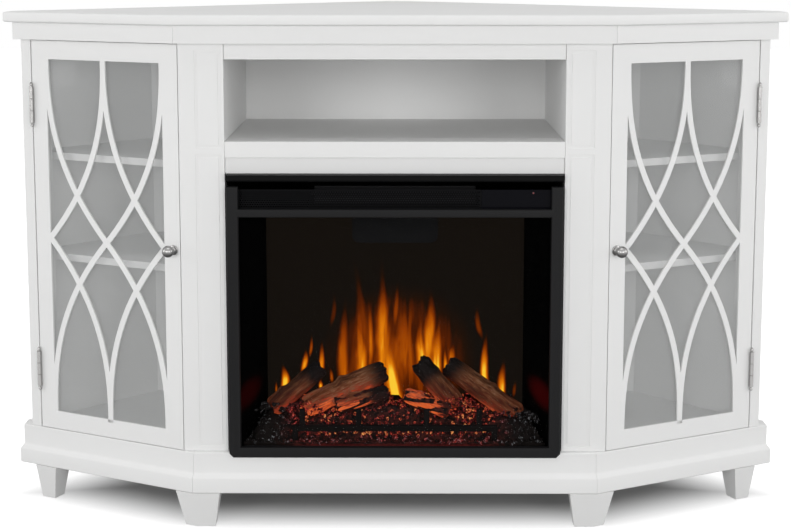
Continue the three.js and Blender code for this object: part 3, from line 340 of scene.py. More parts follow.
def satin_nickel(name, painted_shade=0.0):
    """Brushed nickel, with painted shade that darkens a knob toward its foot at the middle height of the
    doors.
    """
    look = bpy.context.scene.cabinet_metalwork
    nickel = tuple(look.nickel)
    finish = Finish(name, Metallic=1.0)
    brushed = finish.noise(1.0, 3.0, 0.6, finish.stretched((400.0, 400.0, 3200.0)))
    _, _, z = finish.axes()
    # Painted shade: below the middle height of the doors the knob turns darker, as a ball lit from above
    # would.
    low = finish.span(z - DOOR_MIDDLE, 5 * MM, -6 * MM) * painted_shade
    shade = finish.blend(low, nickel, tuple(c * 0.12 for c in nickel))
    finish.set("Base Color", finish.blend(0.14 * brushed, shade, (0.0, 0.0, 0.0)))
    finish.set("Roughness", 0.2 + 0.12 * brushed)
    finish.bump(brushed, 0.01 * MM, 0.4)
    return finish.material


def powder_coat(name, tint, roughness, texture=0.05, shine=0.2):
    finish = Finish(name, Specular_IOR_Level=shine)
    grain = finish.noise(900.0, 2.0, 0.6)
    finish.set("Base Color", finish.blend(finish.noise(25.0, 2.0), tint, tuple(c * 1.35 for c in tint)))
    finish.set("Roughness", roughness - 0.06 + 0.12 * grain)
    finish.bump(grain, texture * MM, 0.6)
    return finish.material


def zinc_plate(name, tint, roughness):
    finish = Finish(name, Metallic=0.85)
    spangle = finish.node("ShaderNodeTexVoronoi", None, {"Vector": finish.place, "Scale": 130.0}, 1)
    value = finish.node("ShaderNodeSeparateColor", None, {0: spangle})
    finish.set("Base Color", finish.blend(value, tint, tuple(c * 0.78 for c in tint)))
    finish.set("Roughness", roughness + 0.1 * value)
    finish.bump(finish.noise(500.0, 2.0), 0.02 * MM, 0.4)
    return finish.material


# Meshes


def piece(name, mesh, material, body="cabinet", replaced=(), sharp=35.0):
    """Makes a mesh a finished piece that rides on a body and stands for its nodes."""
    made = bpy.data.objects.new(name, mesh)
    bpy.context.scene.collection.objects.link(made)
    mesh.materials.clear()
    mesh.materials.append(material)
    if sharp:
        mesh.shade_smooth()
        mesh.set_sharp_from_angle(angle=math.radians(sharp))
    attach(made, body)
    if replaced:
        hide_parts(*replaced)
    return made


def mesh_of(bm, name, mesh=None):
    """Ends an edit: its mesh, new or written back."""
    mesh = mesh or bpy.data.meshes.new(name)
    bm.to_mesh(mesh)
    bm.free()
    return mesh


def plain_mesh(name, verts, faces):
    """A mesh whose faces all point outwards."""
    mesh = bpy.data.meshes.new(name)
    mesh.from_pydata([tuple(v) for v in verts], [], faces)
    bm = bmesh.new()
    bm.from_mesh(mesh)
    bmesh.ops.recalc_face_normals(bm, faces=bm.faces)
    return mesh_of(bm, name, mesh)


def whole_faces(mesh):
    """A merged copy of a mesh, with its flat faces made whole."""
    bm = bmesh.new()
    bm.from_mesh(mesh)
    bmesh.ops.remove_doubles(bm, verts=bm.verts, dist=0.004 * MM)
    bmesh.ops.dissolve_limit(bm, angle_limit=math.radians(0.6), verts=bm.verts, edges=bm.edges,
                             delimit={"NORMAL"})
    verts = [v.co.copy() for v in bm.verts]
    faces = [[v.index for v in f.verts] for f in bm.faces]
    bm.free()
    return plain_mesh(mesh.name, verts, faces)


def node_copy(node):
    mesh = whole_faces(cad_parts[node].data)
    mesh.name = node
    return mesh


def eased(mesh, width, segments=2, angle=30.0):
    """The mesh with its sharp edges rounded and its flat faces shaded flat."""
    mesh.shade_smooth()
    holder = bpy.data.objects.new("holder", mesh)
    bpy.context.scene.collection.objects.link(holder)
    bevel = holder.modifiers.new("ease", "BEVEL")
    bevel.width, bevel.segments = width, segments
    bevel.limit_method, bevel.angle_limit = "ANGLE", math.radians(angle)
    bevel.harden_normals = True
    bevel.use_clamp_overlap = True
    return settled(holder)


def settled(holder):
    """The plain mesh that an object's modifiers make, and the object and its modifiers removed."""
    graph = bpy.context.evaluated_depsgraph_get()
    mesh = bpy.data.meshes.new_from_object(holder.evaluated_get(graph), preserve_all_data_layers=True,
                                           depsgraph=graph)
    name = holder.data.name
    bpy.data.objects.remove(holder)
    mesh.name = name
    return mesh


def dressed(node, width, material, body="cabinet", segments=2, angle=30.0):
    """A finer copy of a node with its edges eased."""
    mesh = eased(node_copy(node), width, segments, angle)
    return piece(f"{node}_dressed", mesh, material, body, [node], sharp=None)


def wing_matrix(side):
    """From a frame on the face of a wing, with y into the cabinet, to the cabinet."""
    return Matrix.Translation((side * FASCIA_HALF, FRONT, 0)) @ Matrix.Rotation(side * WING_ANGLE, 4, "Z")


def lathe(profile, segments):
    """Vertices and faces of a solid turned about z, from radius and height pairs in millimetres that
    start and end on it."""
    verts, faces, rings = [], [], []
    for radius, height in [(radius * MM, height * MM) for radius, height in profile]:
        if radius < 1e-7:
            rings.append([len(verts)])
            verts.append(Vector((0, 0, height)))
        else:
            rings.append(list(range(len(verts), len(verts) + segments)))
            for i in range(segments):
                turn = 2 * math.pi * i / segments
                verts.append(Vector((radius * math.cos(turn), radius * math.sin(turn), height)))
    for low, high in zip(rings, rings[1:]):
        for i in range(segments):
            j = (i + 1) % segments
            if len(low) == 1:
                faces.append([low[0], high[i], high[j]])
            elif len(high) == 1:
                faces.append([low[i], high[0], low[j]])
            else:
                faces.append([low[i], high[i], high[j], low[j]])
    return verts, faces


def box_mesh(name, low, high, width):
    """A box from corner to corner with eased edges."""
    verts = [Vector((x, y, z)) for x in (low[0], high[0]) for y in (low[1], high[1])
             for z in (low[2], high[2])]
    faces = [[0, 1, 3, 2], [4, 6, 7, 5], [0, 4, 5, 1], [2, 3, 7, 6], [0, 2, 6, 4], [1, 5, 7, 3]]
    return eased(plain_mesh(name, verts, faces), width)


def moved(mesh, matrix):
    copy = mesh.copy()
    copy.transform(matrix)
    return copy


def joined(name, meshes):
    """One mesh from several."""
    bm = bmesh.new()
    for mesh in meshes:
        bm.from_mesh(mesh)
    return mesh_of(bm, name)


def grown(name, build, inputs, material, base=None):
    """The plain mesh that a geometry tree makes, from a base mesh if it has one.

    Inputs gives each named input's type and value."""
    tree = bpy.data.node_groups.new(name, "GeometryNodeTree")
    tree.interface.new_socket("Base", in_out="INPUT", socket_type="NodeSocketGeometry")
    sockets = {}
    for label, (kind, _) in inputs.items():
        sockets[label] = tree.interface.new_socket(label, in_out="INPUT", socket_type=f"NodeSocket{kind}")
    tree.interface.new_socket("Geometry", in_out="OUTPUT", socket_type="NodeSocketGeometry")
    nodes = Nodes(tree)
    entry = tree.nodes.new("NodeGroupInput")
    made = build(nodes, {label: Wire(nodes, entry.outputs[label]) for label in ("Base", *inputs)})
    real = nodes.node("GeometryNodeRealizeInstances", None, {0: made})
    coated = nodes.node("GeometryNodeSetMaterial", None, {0: real, "Material": material})
    leave = tree.nodes.new("NodeGroupOutput")
    tree.links.new(coated.socket, leave.inputs[0])
    holder = bpy.data.objects.new(name, base or bpy.data.meshes.new(name))
    bpy.context.scene.collection.objects.link(holder)
    modifier = holder.modifiers.new(name, "NODES")
    modifier.node_group = tree
    for label, (_, value) in inputs.items():
        modifier[sockets[label].identifier] = value
    return settled(holder)


# Painted boards


class CABINET_OT_boards(bpy.types.Operator):
    """Paint the boards of the carcase, the base, the top and the legs"""

    bl_idname = "cabinet.boards"
    bl_label = "Painted boards"

    def execute(self, context):
        look = context.scene.cabinet_paintwork
        paint = satin_paint()
        for node in PAINTED:
            arris = look.close_arris if node in CLOSE_FITTED else look.arris
            dressed(node, arris, paint)
        for hand, side in SIDES:
            block = eased(self.corner_block(side), look.arris)
            piece(f"{hand}_corner_block", block, paint, sharp=None)
        return {"FINISHED"}

    def corner_block(self, side):
        """The glue block that closes the carcase between the end of a back board and the end of the base."""
        joint, depth = 0.3 * MM, 22 * MM
        near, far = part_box("right_back")[1].x + joint, BASE_INSIDE - joint
        wall = WALL - 0.1 * MM
        inner = wall - near - depth
        plan = ((near, inner), (far, inner), (far, wall - far), (near, wall - near))
        low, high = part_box("right_back")[0].z + 0.5 * MM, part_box("floor_panel")[0].z - joint
        verts = [Vector((side * x, y, z)) for z in (low, high) for x, y in plan]
        return plain_mesh("corner_block", verts, [[0, 1, 2, 3], [4, 5, 6, 7], *(
            [k, (k + 1) % 4, (k + 1) % 4 + 4, k + 4] for k in range(4))])


# Doors


def door_frame_mesh(name, look, toward):
    """A door's frame about the middle of its sight opening: outer edges, opening and glass rebate."""
    outer = (DOOR_HALF_WIDTH, DOOR_HALF_HEIGHT)
    sight = (DOOR_HALF_WIDTH - look.door_stile, DOOR_HALF_HEIGHT - look.door_rail)
    lip, board = 7 * MM, 20 * MM
    seat = (sight[0] + lip, sight[1] + lip)
    rebate = look.bar_depth + 0.3 * MM
    section = [(sight, 0), (sight, rebate), (seat, rebate), (seat, board), (outer, board), (outer, 0)]
    corners = [(-1, -1), (1, -1), (1, 1), (-1, 1)]
    verts = [Vector((sx * w, sz * h, -y)) for sx, sz in corners for (w, h), y in section]
    for vert in verts:
        if abs(vert.x + toward * DOOR_HALF_WIDTH) < 1e-6:
            vert.x -= toward * look.meeting
    count = len(section)
    faces = []
    for c in range(4):
        for k in range(count):
            a, b = c * count + k, c * count + (k + 1) % count
            d, e = (c + 1) % 4 * count + k, (c + 1) % 4 * count + (k + 1) % count
            faces.append([a, b, e, d])
    return plain_mesh(name, verts, faces)


def fretwork_tree(nodes, inputs):
    """Joins to the frame eight bars, each sweeping from the middle height to a rail."""
    overlap = inputs["Bar width"] / inputs["Half height"] / 2
    section = nodes.node("GeometryNodeCurvePrimitiveQuadrilateral", None, {
        "Width": inputs["Bar width"], "Height": inputs["Bar depth"]})
    drop = nodes.node("ShaderNodeCombineXYZ", None, {2: inputs["Bar depth"] / -2})
    solids = [inputs["Base"]]
    for from_stile in (0, 1):
        line = nodes.node("GeometryNodeCurvePrimitiveLine", None, {"Start": (0, 0, 0), "End": (0, 1, 0)})
        fine = nodes.node("GeometryNodeResampleCurve", {"mode": "COUNT"}, {"Curve": line, "Count": 41})
        at = nodes.node("GeometryNodeSplineParameter") * (1 + 2 * overlap) - overlap
        left = (1 - at).at_least(0.0) ** inputs["Sweep"]
        across = (left if from_stile else 1 - left) * inputs["Half width"]
        point = nodes.node("ShaderNodeCombineXYZ", None, {0: across, 1: at * inputs["Half height"]})
        quarter = nodes.node("GeometryNodeSetPosition", None, {"Geometry": fine, "Position": point})
        for mirror in ((1, 1, 1), (-1, 1, 1), (1, -1, 1), (-1, -1, 1)):
            turned = nodes.node("GeometryNodeTransform", None, {
                "Geometry": quarter, "Scale": mirror, "Translation": drop})
            upright = nodes.node("GeometryNodeSetCurveNormal", {"mode": "Z_UP"}, {"Curve": turned})
            solids.append(nodes.node("GeometryNodeCurveToMesh", None, {
                "Curve": upright, "Profile Curve": section, "Fill Caps": True}))
    return nodes.node("GeometryNodeMeshBoolean", {"operation": "UNION", "solver": "EXACT"}, {"Mesh": solids})


class CABINET_OT_doors(bpy.types.Operator):
    """Make the door frames, their swept lattice and the glass"""

    bl_idname = "cabinet.doors"
    bl_label = "Doors"

    def execute(self, context):
        look = context.scene.cabinet_paintwork
        paint = satin_paint()
        glass = clear_glass("door_glass", tuple(look.glass), 0.12)
        middle = CORNER_GAP * MM + DOOR_HALF_WIDTH
        for hand, side in SIDES:
            place = wing_matrix(side) @ Matrix.Translation((side * middle, 0, DOOR_MIDDLE))
            panel = grown(f"{hand}_door_panel", fretwork_tree, {
                "Half width": ("Float", DOOR_HALF_WIDTH - look.door_stile),
                "Half height": ("Float", DOOR_HALF_HEIGHT - look.door_rail),
                "Bar width": ("Float", look.bar_width), "Bar depth": ("Float", look.bar_depth),
                "Sweep": ("Float", look.bar_sweep)}, paint,
                door_frame_mesh(f"{hand}_door_panel", look, side))
            panel = eased(whole_faces(panel), look.bar_round, 2)
            panel.transform(place @ FACING)
            door = f"{hand}_door"
            piece(f"{door}_panel", panel, paint, door, [door], None)
            dressed(f"{door}_glass", 0.4 * MM, glass, door)
        return {"FINISHED"}


class CABINET_OT_hardware(bpy.types.Operator):
    """Turn the knobs and the hinges, and make the catches"""

    bl_idname = "cabinet.hardware"
    bl_label = "Knobs, hinges and catches"

    def execute(self, context):
        # The knobs' nickel carries painted shade on its lower half; the hinges' nickel has none.
        nickel, shaded_nickel = satin_nickel("hinge_nickel"), satin_nickel("knob_nickel", 0.95)
        for hand, side in SIDES:
            wing = wing_matrix(side)
            knob = plain_mesh("knob", *lathe(knob_profile(), 48))
            face = Matrix.Translation((side * KNOB_INSET, -0.3 * MM, DOOR_MIDDLE))
            knob.transform(wing @ face @ FACING)
            door = f"{hand}_door"
            piece(f"{hand}_knob", knob, shaded_nickel, door, [f"{door}_knob"], 40.0)
            for place in ("upper", "lower"):
                node = f"{hand}_{place}_hinge"
                low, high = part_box(node)
                whole = self.hinge(node, side)
                height = (low.z + high.z) / 2
                whole.transform(wing @ Matrix.Translation((side * HINGE_X, -BARREL_AHEAD, height)))
                piece(f"{node}_turned", whole, nickel, "cabinet", [node], 30.0)
            catch = zinc_plate(f"{hand}_catch_case", (0.5, 0.5, 0.49), 0.4)
            dressed(f"{hand}_catch", 1.5 * MM, catch, segments=3)
        return {"FINISHED"}

    def hinge(self, node, side):
        """A barrel with its finials, and the leaf behind it."""
        barrel = plain_mesh("barrel", *lathe(barrel_profile(), 32))
        half, thick = BARREL_HALF * MM, 0.6 * MM
        x = side * (LEAF_X - HINGE_X)
        leaf = box_mesh("leaf", (x - thick, 1.0 * MM, -half), (x + thick, 22 * MM, half), 0.25 * MM)
        return joined(node, [barrel, leaf])


KNOB_INSET, BARREL_AHEAD = 13.5 * MM, 4.4 * MM
BARREL_HALF, BARREL_RADIUS = 33, 4.0  # in millimetres
HINGE_X = (CORNER_GAP - 0.5) * MM + 2 * DOOR_HALF_WIDTH
LEAF_X = (WING_LENGTH - OUTER_STILE_FACE - 0.4 - 0.6) * MM


def knob_profile():
    """A rose, a neck and a ball, in millimetres."""
    ball, reach, neck_radius, steps = 10.3, 17, 4.3, 24
    profile = [(0, 0), (8.6, 0), (9.0, 0.4), (9.0, 1.1), (8.5, 1.7), (7.2, 2.0), (6.2, 2.1), (5.0, 2.7),
               (4.2, 3.7), (3.8, 5.2), (3.9, 6.6)]
    neck = math.asin(neck_radius / ball)
    for i in range(steps + 1):
        angle = neck + (math.pi - neck) * i / steps
        profile.append((ball * math.sin(angle) if i < steps else 0, reach - ball * math.cos(angle)))
    return profile


def barrel_profile():
    """From the lower finial to the upper in millimetres, with a groove between the knuckles."""
    knuckle, ease, groove = 11, 0.45, 0.1
    shoulder = BARREL_RADIUS - ease
    top = [(BARREL_RADIUS, knuckle - ease), (shoulder, knuckle - groove), (3.3, knuckle),
           (shoulder, knuckle + groove), (BARREL_RADIUS, knuckle + ease),
           (BARREL_RADIUS, BARREL_HALF - ease), (shoulder, BARREL_HALF - groove)]
    finial = ((2.0, 0), (1.9, 1.2), (2.3, 1.9), (2.9, 2.9), (3.0, 4.0), (2.7, 5.2), (2.0, 6.4),
              (1.1, 7.5), (0, 8.0))
    top += [(radius, BARREL_HALF + height) for radius, height in finial]
    return [(radius, -height) for radius, height in reversed(top)] + top


# The front of the fire


def grille_tree(nodes, inputs):
    """A sheet with round holes in staggered rows."""
    sheet = nodes.node("GeometryNodeCurvePrimitiveQuadrilateral", None, {
        "Width": inputs["Width"], "Height": inputs["Height"]})
    hole = nodes.node("GeometryNodeCurvePrimitiveCircle", {"mode": "RADIUS"}, {
        "Resolution": 8, "Radius": inputs["Hole"] / 2})
    rows = [sheet]
    pair = inputs["Pitch"] * math.sqrt(3)
    for offset in (0, 1):
        columns = math.floor(inputs["Width"] / inputs["Pitch"]) - (1 + offset)
        height_rows = math.floor(inputs["Height"] / pair) - offset
        grid = nodes.node("GeometryNodeMeshGrid", None, {
            "Size X": (columns - 1) * inputs["Pitch"], "Size Y": (height_rows - 1) * pair,
            "Vertices X": columns, "Vertices Y": height_rows})
        holes = nodes.node("GeometryNodeInstanceOnPoints", None, {"Points": grid, "Instance": hole})
        rows.append(nodes.node("GeometryNodeRealizeInstances", None, {0: holes}))
    outlines = nodes.node("GeometryNodeJoinGeometry", None, {0: rows})
    face = nodes.node("GeometryNodeFillCurve", {"mode": "TRIANGLES"}, {0: outlines})
    walls = nodes.node("GeometryNodeExtrudeMesh", {"mode": "FACES"}, {
        "Mesh": face, "Offset Scale": inputs["Thickness"], "Individual": False})
    back = nodes.node("GeometryNodeFlipFaces", None, {0: face})
    whole = nodes.node("GeometryNodeJoinGeometry", None, {0: [walls, back]})
    return nodes.node("GeometryNodeMergeByDistance", None, {"Geometry": whole, "Distance": 0.00002})


class CABINET_OT_fire_front(bpy.types.Operator):
    """Make the black frame, hood, grille, controls and pane of the fire"""

    bl_idname = "cabinet.fire_front"
    bl_label = "Front of the fire"

    def execute(self, context):
        look = context.scene.cabinet_metalwork
        coat = powder_coat("powder_coat", tuple(look.coating), 0.5, 0.05, 0.13)
        hood = powder_coat("hood_coat", tuple(c * 0.3 for c in look.coating), 0.4, 0.01, 0.06)
        gloss = powder_coat("control_gloss", (0.0016, 0.0016, 0.0030), 0.25, 0.004, 0.05)
        pane = clear_glass("fire_pane", (0.01, 0.01, 0.01), 0.02, 0.1)
        inside = powder_coat("casing_black", (0.0016, 0.0016, 0.0016), 0.6, 0.05, 0.0)
        for node, width, material, slot, segments in (
                ("fire_trim", 0.8, coat, "black_steel", 3), ("fire_hood", 0.7, hood, "black_steel", 3),
                ("control_panel", 0.5, gloss, "black_plastic", 3),
                ("fire_glass", 0.5, pane, "fire_glass", 2),
                ("fire_casing", 0.3, inside, "black_steel", 1)):
            dressed(node, width * MM, material, segments=segments)
        self.grille(look)
        self.indicator(look)
        return {"FINISHED"}

    def grille(self, look):
        """The perforated sheet over the fan."""
        low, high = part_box("vent_grille")
        dark = powder_coat("grille_black", (0.0030, 0.0030, 0.0034), 0.55, 0.02, 0.04)
        thickness = 1 * MM
        sheet = grown("vent_grille", grille_tree, {
            "Width": ("Float", high.x - low.x), "Height": ("Float", high.z - low.z),
            "Thickness": ("Float", thickness), "Pitch": ("Float", look.pitch),
            "Hole": ("Float", look.perforation)}, dark)
        middle = (low + high) / 2
        sheet.transform(Matrix.Translation((middle.x, low.y + thickness, middle.z)) @ FACING)
        piece("vent_grille_sheet", sheet, dark, replaced=["vent_grille"], sharp=30.0)

    def indicator(self, look):
        """The small red lens at the end of the controls."""
        place = Vector((239 * MM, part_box("control_panel")[0].y, 598 * MM))
        lens = plain_mesh("indicator", *lathe([(0, 0), (1.6, 0), (1.5, 0.25), (0.9, 0.5), (0, 0.6)], 20))
        lens.transform(Matrix.Translation(place) @ FACING)
        glow = Finish("indicator", Base_Color=(0.05, 0.002, 0.003), Emission_Strength=1.0)
        red = glow.blend(glow.noise(2000.0), tuple(look.indicator), (0.08, 0.002, 0.002))
        glow.set("Emission Color", red)
        glow.set("Roughness", 0.2)
        piece("indicator_lens", lens, glow.material)


# The fire


# Each flame in millimetres: foot x and z, tip x and z, width at its widest, sideways bend. Then its
# strength.
FLAMES = (
    (-204, 213, -209, 257, 17, 3, 1.0), (-219, 202, -220, 225, 5, 0, 0.6),
    (-169, 247, -166, 286, 15, 2, 0.95), (-156, 277, -155, 314, 8, 1, 0.55),
    (-136, 241, -134, 304, 14, 1, 0.9), (-137, 210, -137, 226, 10, 0, 1.0),
    (-117, 225, -119, 249, 8, 0, 0.6), (-115, 340, -113, 394, 10, 2, 0.3), (-96, 231, -90, 390, 25, -3, 0.62),
    (-63, 313, -77, 458, 21, 6, 0.32), (-63, 244, -69, 331, 22, 3, 0.66), (-45, 274, -48, 382, 10, 2, 0.4),
    (-23, 248, -25, 463, 26, 2, 0.6), (4, 183, -9, 296, 28, -4, 1.0), (1, 347, 6, 417, 10, 1, 0.28),
    (18, 244, 14, 361, 56, 0, 0.16), (61, 279, 65, 404, 25, 3, 0.55), (49, 259, 46, 339, 19, -2, 0.7),
    (78, 241, 84, 343, 22, -3, 0.85), (93, 241, 94, 287, 8, 0, 0.9), (106, 260, 110, 295, 13, -2, 0.6),
    (156, 317, 153, 369, 12, -3, 0.42), (167, 222, 169, 321, 19, -2, 1.0), (197, 192, 201, 267, 19, -2, 1.0),
    (221, 199, 223, 227, 9, 0, 0.35),
)


def flame_picture():
    """Tongues of flame over a dark screen, each a tapering streak, with a brown glow between them."""
    look = bpy.context.scene.cabinet_fire
    finish = Finish("flame_picture", Roughness=0.8, Specular_IOR_Level=0.0, Emission_Strength=1.0)
    x, _, z = finish.axes()
    lick = finish.noise(1.0, 3.0, 0.55, finish.stretched((26.0, 1.0, 9.0)))
    streak = finish.noise(1.0, 2.0, 0.5, finish.stretched((70.0, 1.0, 8.0)), 0.6)
    sway = (lick - 0.5) * (10 * MM)
    glow_amount = None
    for foot_x, foot_z, tip_x, tip_z, width, bend, strength in FLAMES:
        up = (z - foot_z * MM) / ((tip_z - foot_z) * MM)
        middle = foot_x * MM + up * ((tip_x - foot_x) * MM) + (up * (1 - up)) * (4 * bend * MM)
        body = (1 - up).clamped() ** 0.8 * ((up + 0.4).clamped() ** 0.5) * (width / 2 * MM * 1.3)
        off = abs(x + sway - middle) / (body + 0.0004)
        edge = finish.span(off, 1.3, 0.2)
        fade = finish.span(up, -0.45, 0.1) * finish.span(up, 1.05, 0.2)
        tongue = edge * fade * strength
        glow_amount = tongue if glow_amount is None else glow_amount + tongue * (1 - glow_amount.clamped() * 0.4)
    wisps = finish.span(streak + (lick - 0.5) * 0.6, 0.34, 0.68)
    mass_x, mass_z = (x + sway * 2 - 10 * MM) / (150 * MM), (z - 262 * MM) / (150 * MM)
    mass = finish.span(mass_x * mass_x + mass_z * mass_z, 1.0, 0.0) * (0.23 + 0.27 * wisps)
    total = glow_amount * (0.78 + 0.4 * streak) + mass * (1 - glow_amount.clamped() * 0.6)
    finish.set("Emission Color", finish.ramp(total, (
        (0.0, tuple(look.screen)), (0.12, (0.014, 0.0050, 0.0018)), (0.3, (0.085, 0.012, 0.0006)),
        (0.5, (0.25, 0.038, 0.0006)), (0.68, (0.47, 0.095, 0.001)), (0.86, tuple(look.flame)),
        (1.0, tuple(look.core)))))
    finish.set("Base Color", finish.blend(lick, (0.0012, 0.0010, 0.0008), (0.0020, 0.0017, 0.0014)))
    return finish.material


def screen_sides():
    """The black box round the fire, with a painted red glow of the fire's light on each side wall and a
    greyer deflector.
    """
    finish = Finish("screen_black", Specular_IOR_Level=0.0, Emission_Strength=1.0)
    x, y, z = finish.axes()
    grain = finish.noise(300.0, 2.0)
    plate_half, plate_foot = 80 * MM, 480 * MM
    plate = finish.span(abs(x), plate_half + 1 * MM, plate_half)
    plate = plate * finish.span(z, plate_foot, plate_foot + 1 * MM)
    dark = finish.blend(grain, (0.0006, 0.0006, 0.0006), (0.0012, 0.0012, 0.0012))
    finish.set("Base Color", finish.blend(plate, dark, (0.012, 0.012, 0.0124)))
    # Painted light: a faint red pool of the fire's light on each side wall, stronger on the right; the wall
    # itself gives no light.
    back, up = (y + 0.36) / 0.08, (z - 0.228) / 0.028
    stronger_right = finish.span(x, -0.2, 0.2, 0.45, 1.0)
    glow = finish.span(back * back + up * up, 1.8, 0.0) ** 3 * (1 - plate) * stronger_right
    finish.set("Emission Color", finish.blend(glow, (0.0, 0.0, 0.0), (0.024, 0.0003, 0.0004)))
    finish.set("Roughness", 0.6 + 0.2 * grain)
    return finish.material


class CABINET_OT_flames(bpy.types.Operator):
    """Make the dark screen and the lit flame sheet"""

    bl_idname = "cabinet.flames"
    bl_label = "Flame screen"

    def execute(self, context):
        low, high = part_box("flame_screen")
        dressed("flame_screen", 0.3 * MM, screen_sides(), segments=1)
        half, margin, thickness = 236 * MM, 1 * MM, 0.6 * MM
        back = high.y - 1.8 * MM
        sheet = box_mesh("flame_sheet", (-half, back - thickness, low.z + margin),
                         (half, back, high.z - margin), 0.2 * MM)
        piece("flame_sheet", sheet, flame_picture(), sharp=None)
        return {"FINISHED"}


# Each log: the radius in millimetres at its low and high end, how red it glows, how pale its bark is,
# the shares along it below and above which it is charred, and the share at which a stub stands.
LOGS = (
    ("rear_left_log", 17, 17, 0.8, 0.55, (-1, 0.72), 0.3),
    ("front_left_log", 19, 21, 1.5, 1.15, (-1, 0.86), 0.5),
    ("rear_right_log", 21, 19, 0.9, 0.8, (-1, 0.84), 0.42),
    ("front_right_log", 19, 19, 1.0, 0.65, (-1, 0.62), 0.7),
)
BRANCHES = (
    ("left_branch", 14, 12, 2.2, 1.1, (-1, 0.66), 0.3),
    ("right_branch", 14, 12, 4.6, 1.0, (0.22, 2), 0.7),
)

# The low and the high end of each, in shares of the bed's half width and depth and of the height to
# the deck of the fire.
LOG_ENDS = {
    "rear_left_log": ((-0.83, 0.4, 0.135), (-0.5, 0.62, 0.3)),
    "front_left_log": ((-0.61, 0.4, 0.137), (-0.068, 0.56, 0.292)),
    "rear_right_log": ((0.83, 0.46, 0.095), (0.36, 0.72, 0.302)),
    "front_right_log": ((0.41, 0.37, 0.152), (0.163, 0.6, 0.32)),
    "left_branch": ((-0.394, 0.26, 0.16), (-0.05, 0.3, 0.217)),
    "right_branch": ((0.36, 0.2, 0.14), (0.07, 0.28, 0.208)),
}
BED_HALF, BED_AHEAD, BED_DEPTH, BED_FOOT, DECK_RISE = 265.5, 11, 129, 140.1, 418.8  # in millimetres


def log_ends(name):
    return tuple(Vector((across * BED_HALF * MM, FRONT + (BED_AHEAD + back * BED_DEPTH) * MM,
                         (BED_FOOT + up * DECK_RISE) * MM)) for across, back, up in LOG_ENDS[name])


def bark_finish():
    """Moulded bark: brown ridges with painted light glowing from within their cracks, a charred upper end and
    a painted red glow from below.
    """
    look = bpy.context.scene.cabinet_fire
    finish = Finish("bark", Specular_IOR_Level=0.15, Emission_Strength=1.0)
    grain = finish.node("ShaderNodeUVMap", {"uv_map": "grain"})
    along = finish.stretched((1.0, 0.12, 1.0), grain)
    ridges = finish.noise(520.0, 4.0, 0.62, along)
    patches = finish.noise(60.0, 3.0, 0.6, along)
    flakes = finish.noise(900.0, 2.0, 0.5)
    burnt, under, pale = (finish.attribute(name) for name in ("burnt", "under", "pale"))
    bark = tuple(look.bark)
    grade = finish.span(ridges * 0.4 + patches * 0.6 + (pale - 0.8) * 0.12, 0.36, 0.66)
    wood = finish.ramp(grade, ((0.0, (0.005, 0.003, 0.002)), (0.3, tuple(c * 0.35 for c in bark)),
                               (0.62, bark), (1.0, (0.21, 0.112, 0.060))))
    char = finish.span(burnt + (ridges - 0.5) * 0.6 + (patches - 0.5) * 1.4, 0.1, 0.8)
    skin = finish.blend(char, wood, (0.0024, 0.0019, 0.0016))
    crack = finish.span(ridges, 0.56, 0.42)
    # Painted light: the red that the embers cast on each log's underside and low end and into its cracks, set
    # as emission and also reddening the base colour.
    glow_amount = under * (0.35 + crack * 0.6) * finish.span(patches, 0.35, 0.6, 0.45, 1.0) * (1 - char * 0.9)
    finish.set("Base Color", finish.blend((glow_amount * 1.6).clamped() * 0.85, skin, (0.016, 0.003, 0.0016)))
    red = finish.ramp(glow_amount, ((0.0, (0.0, 0.0, 0.0)), (0.3, (0.055, 0.006, 0.002)),
                             (0.65, (0.26, 0.022, 0.009)), (1.0, (0.62, 0.10, 0.02))))
    finish.set("Emission Color", finish.blend(0.15, red, skin, "ADD"))
    finish.set("Roughness", 0.75 + 0.2 * flakes)
    finish.bump(ridges + flakes * 0.3, 1.1 * MM, 0.9)
    return finish.material


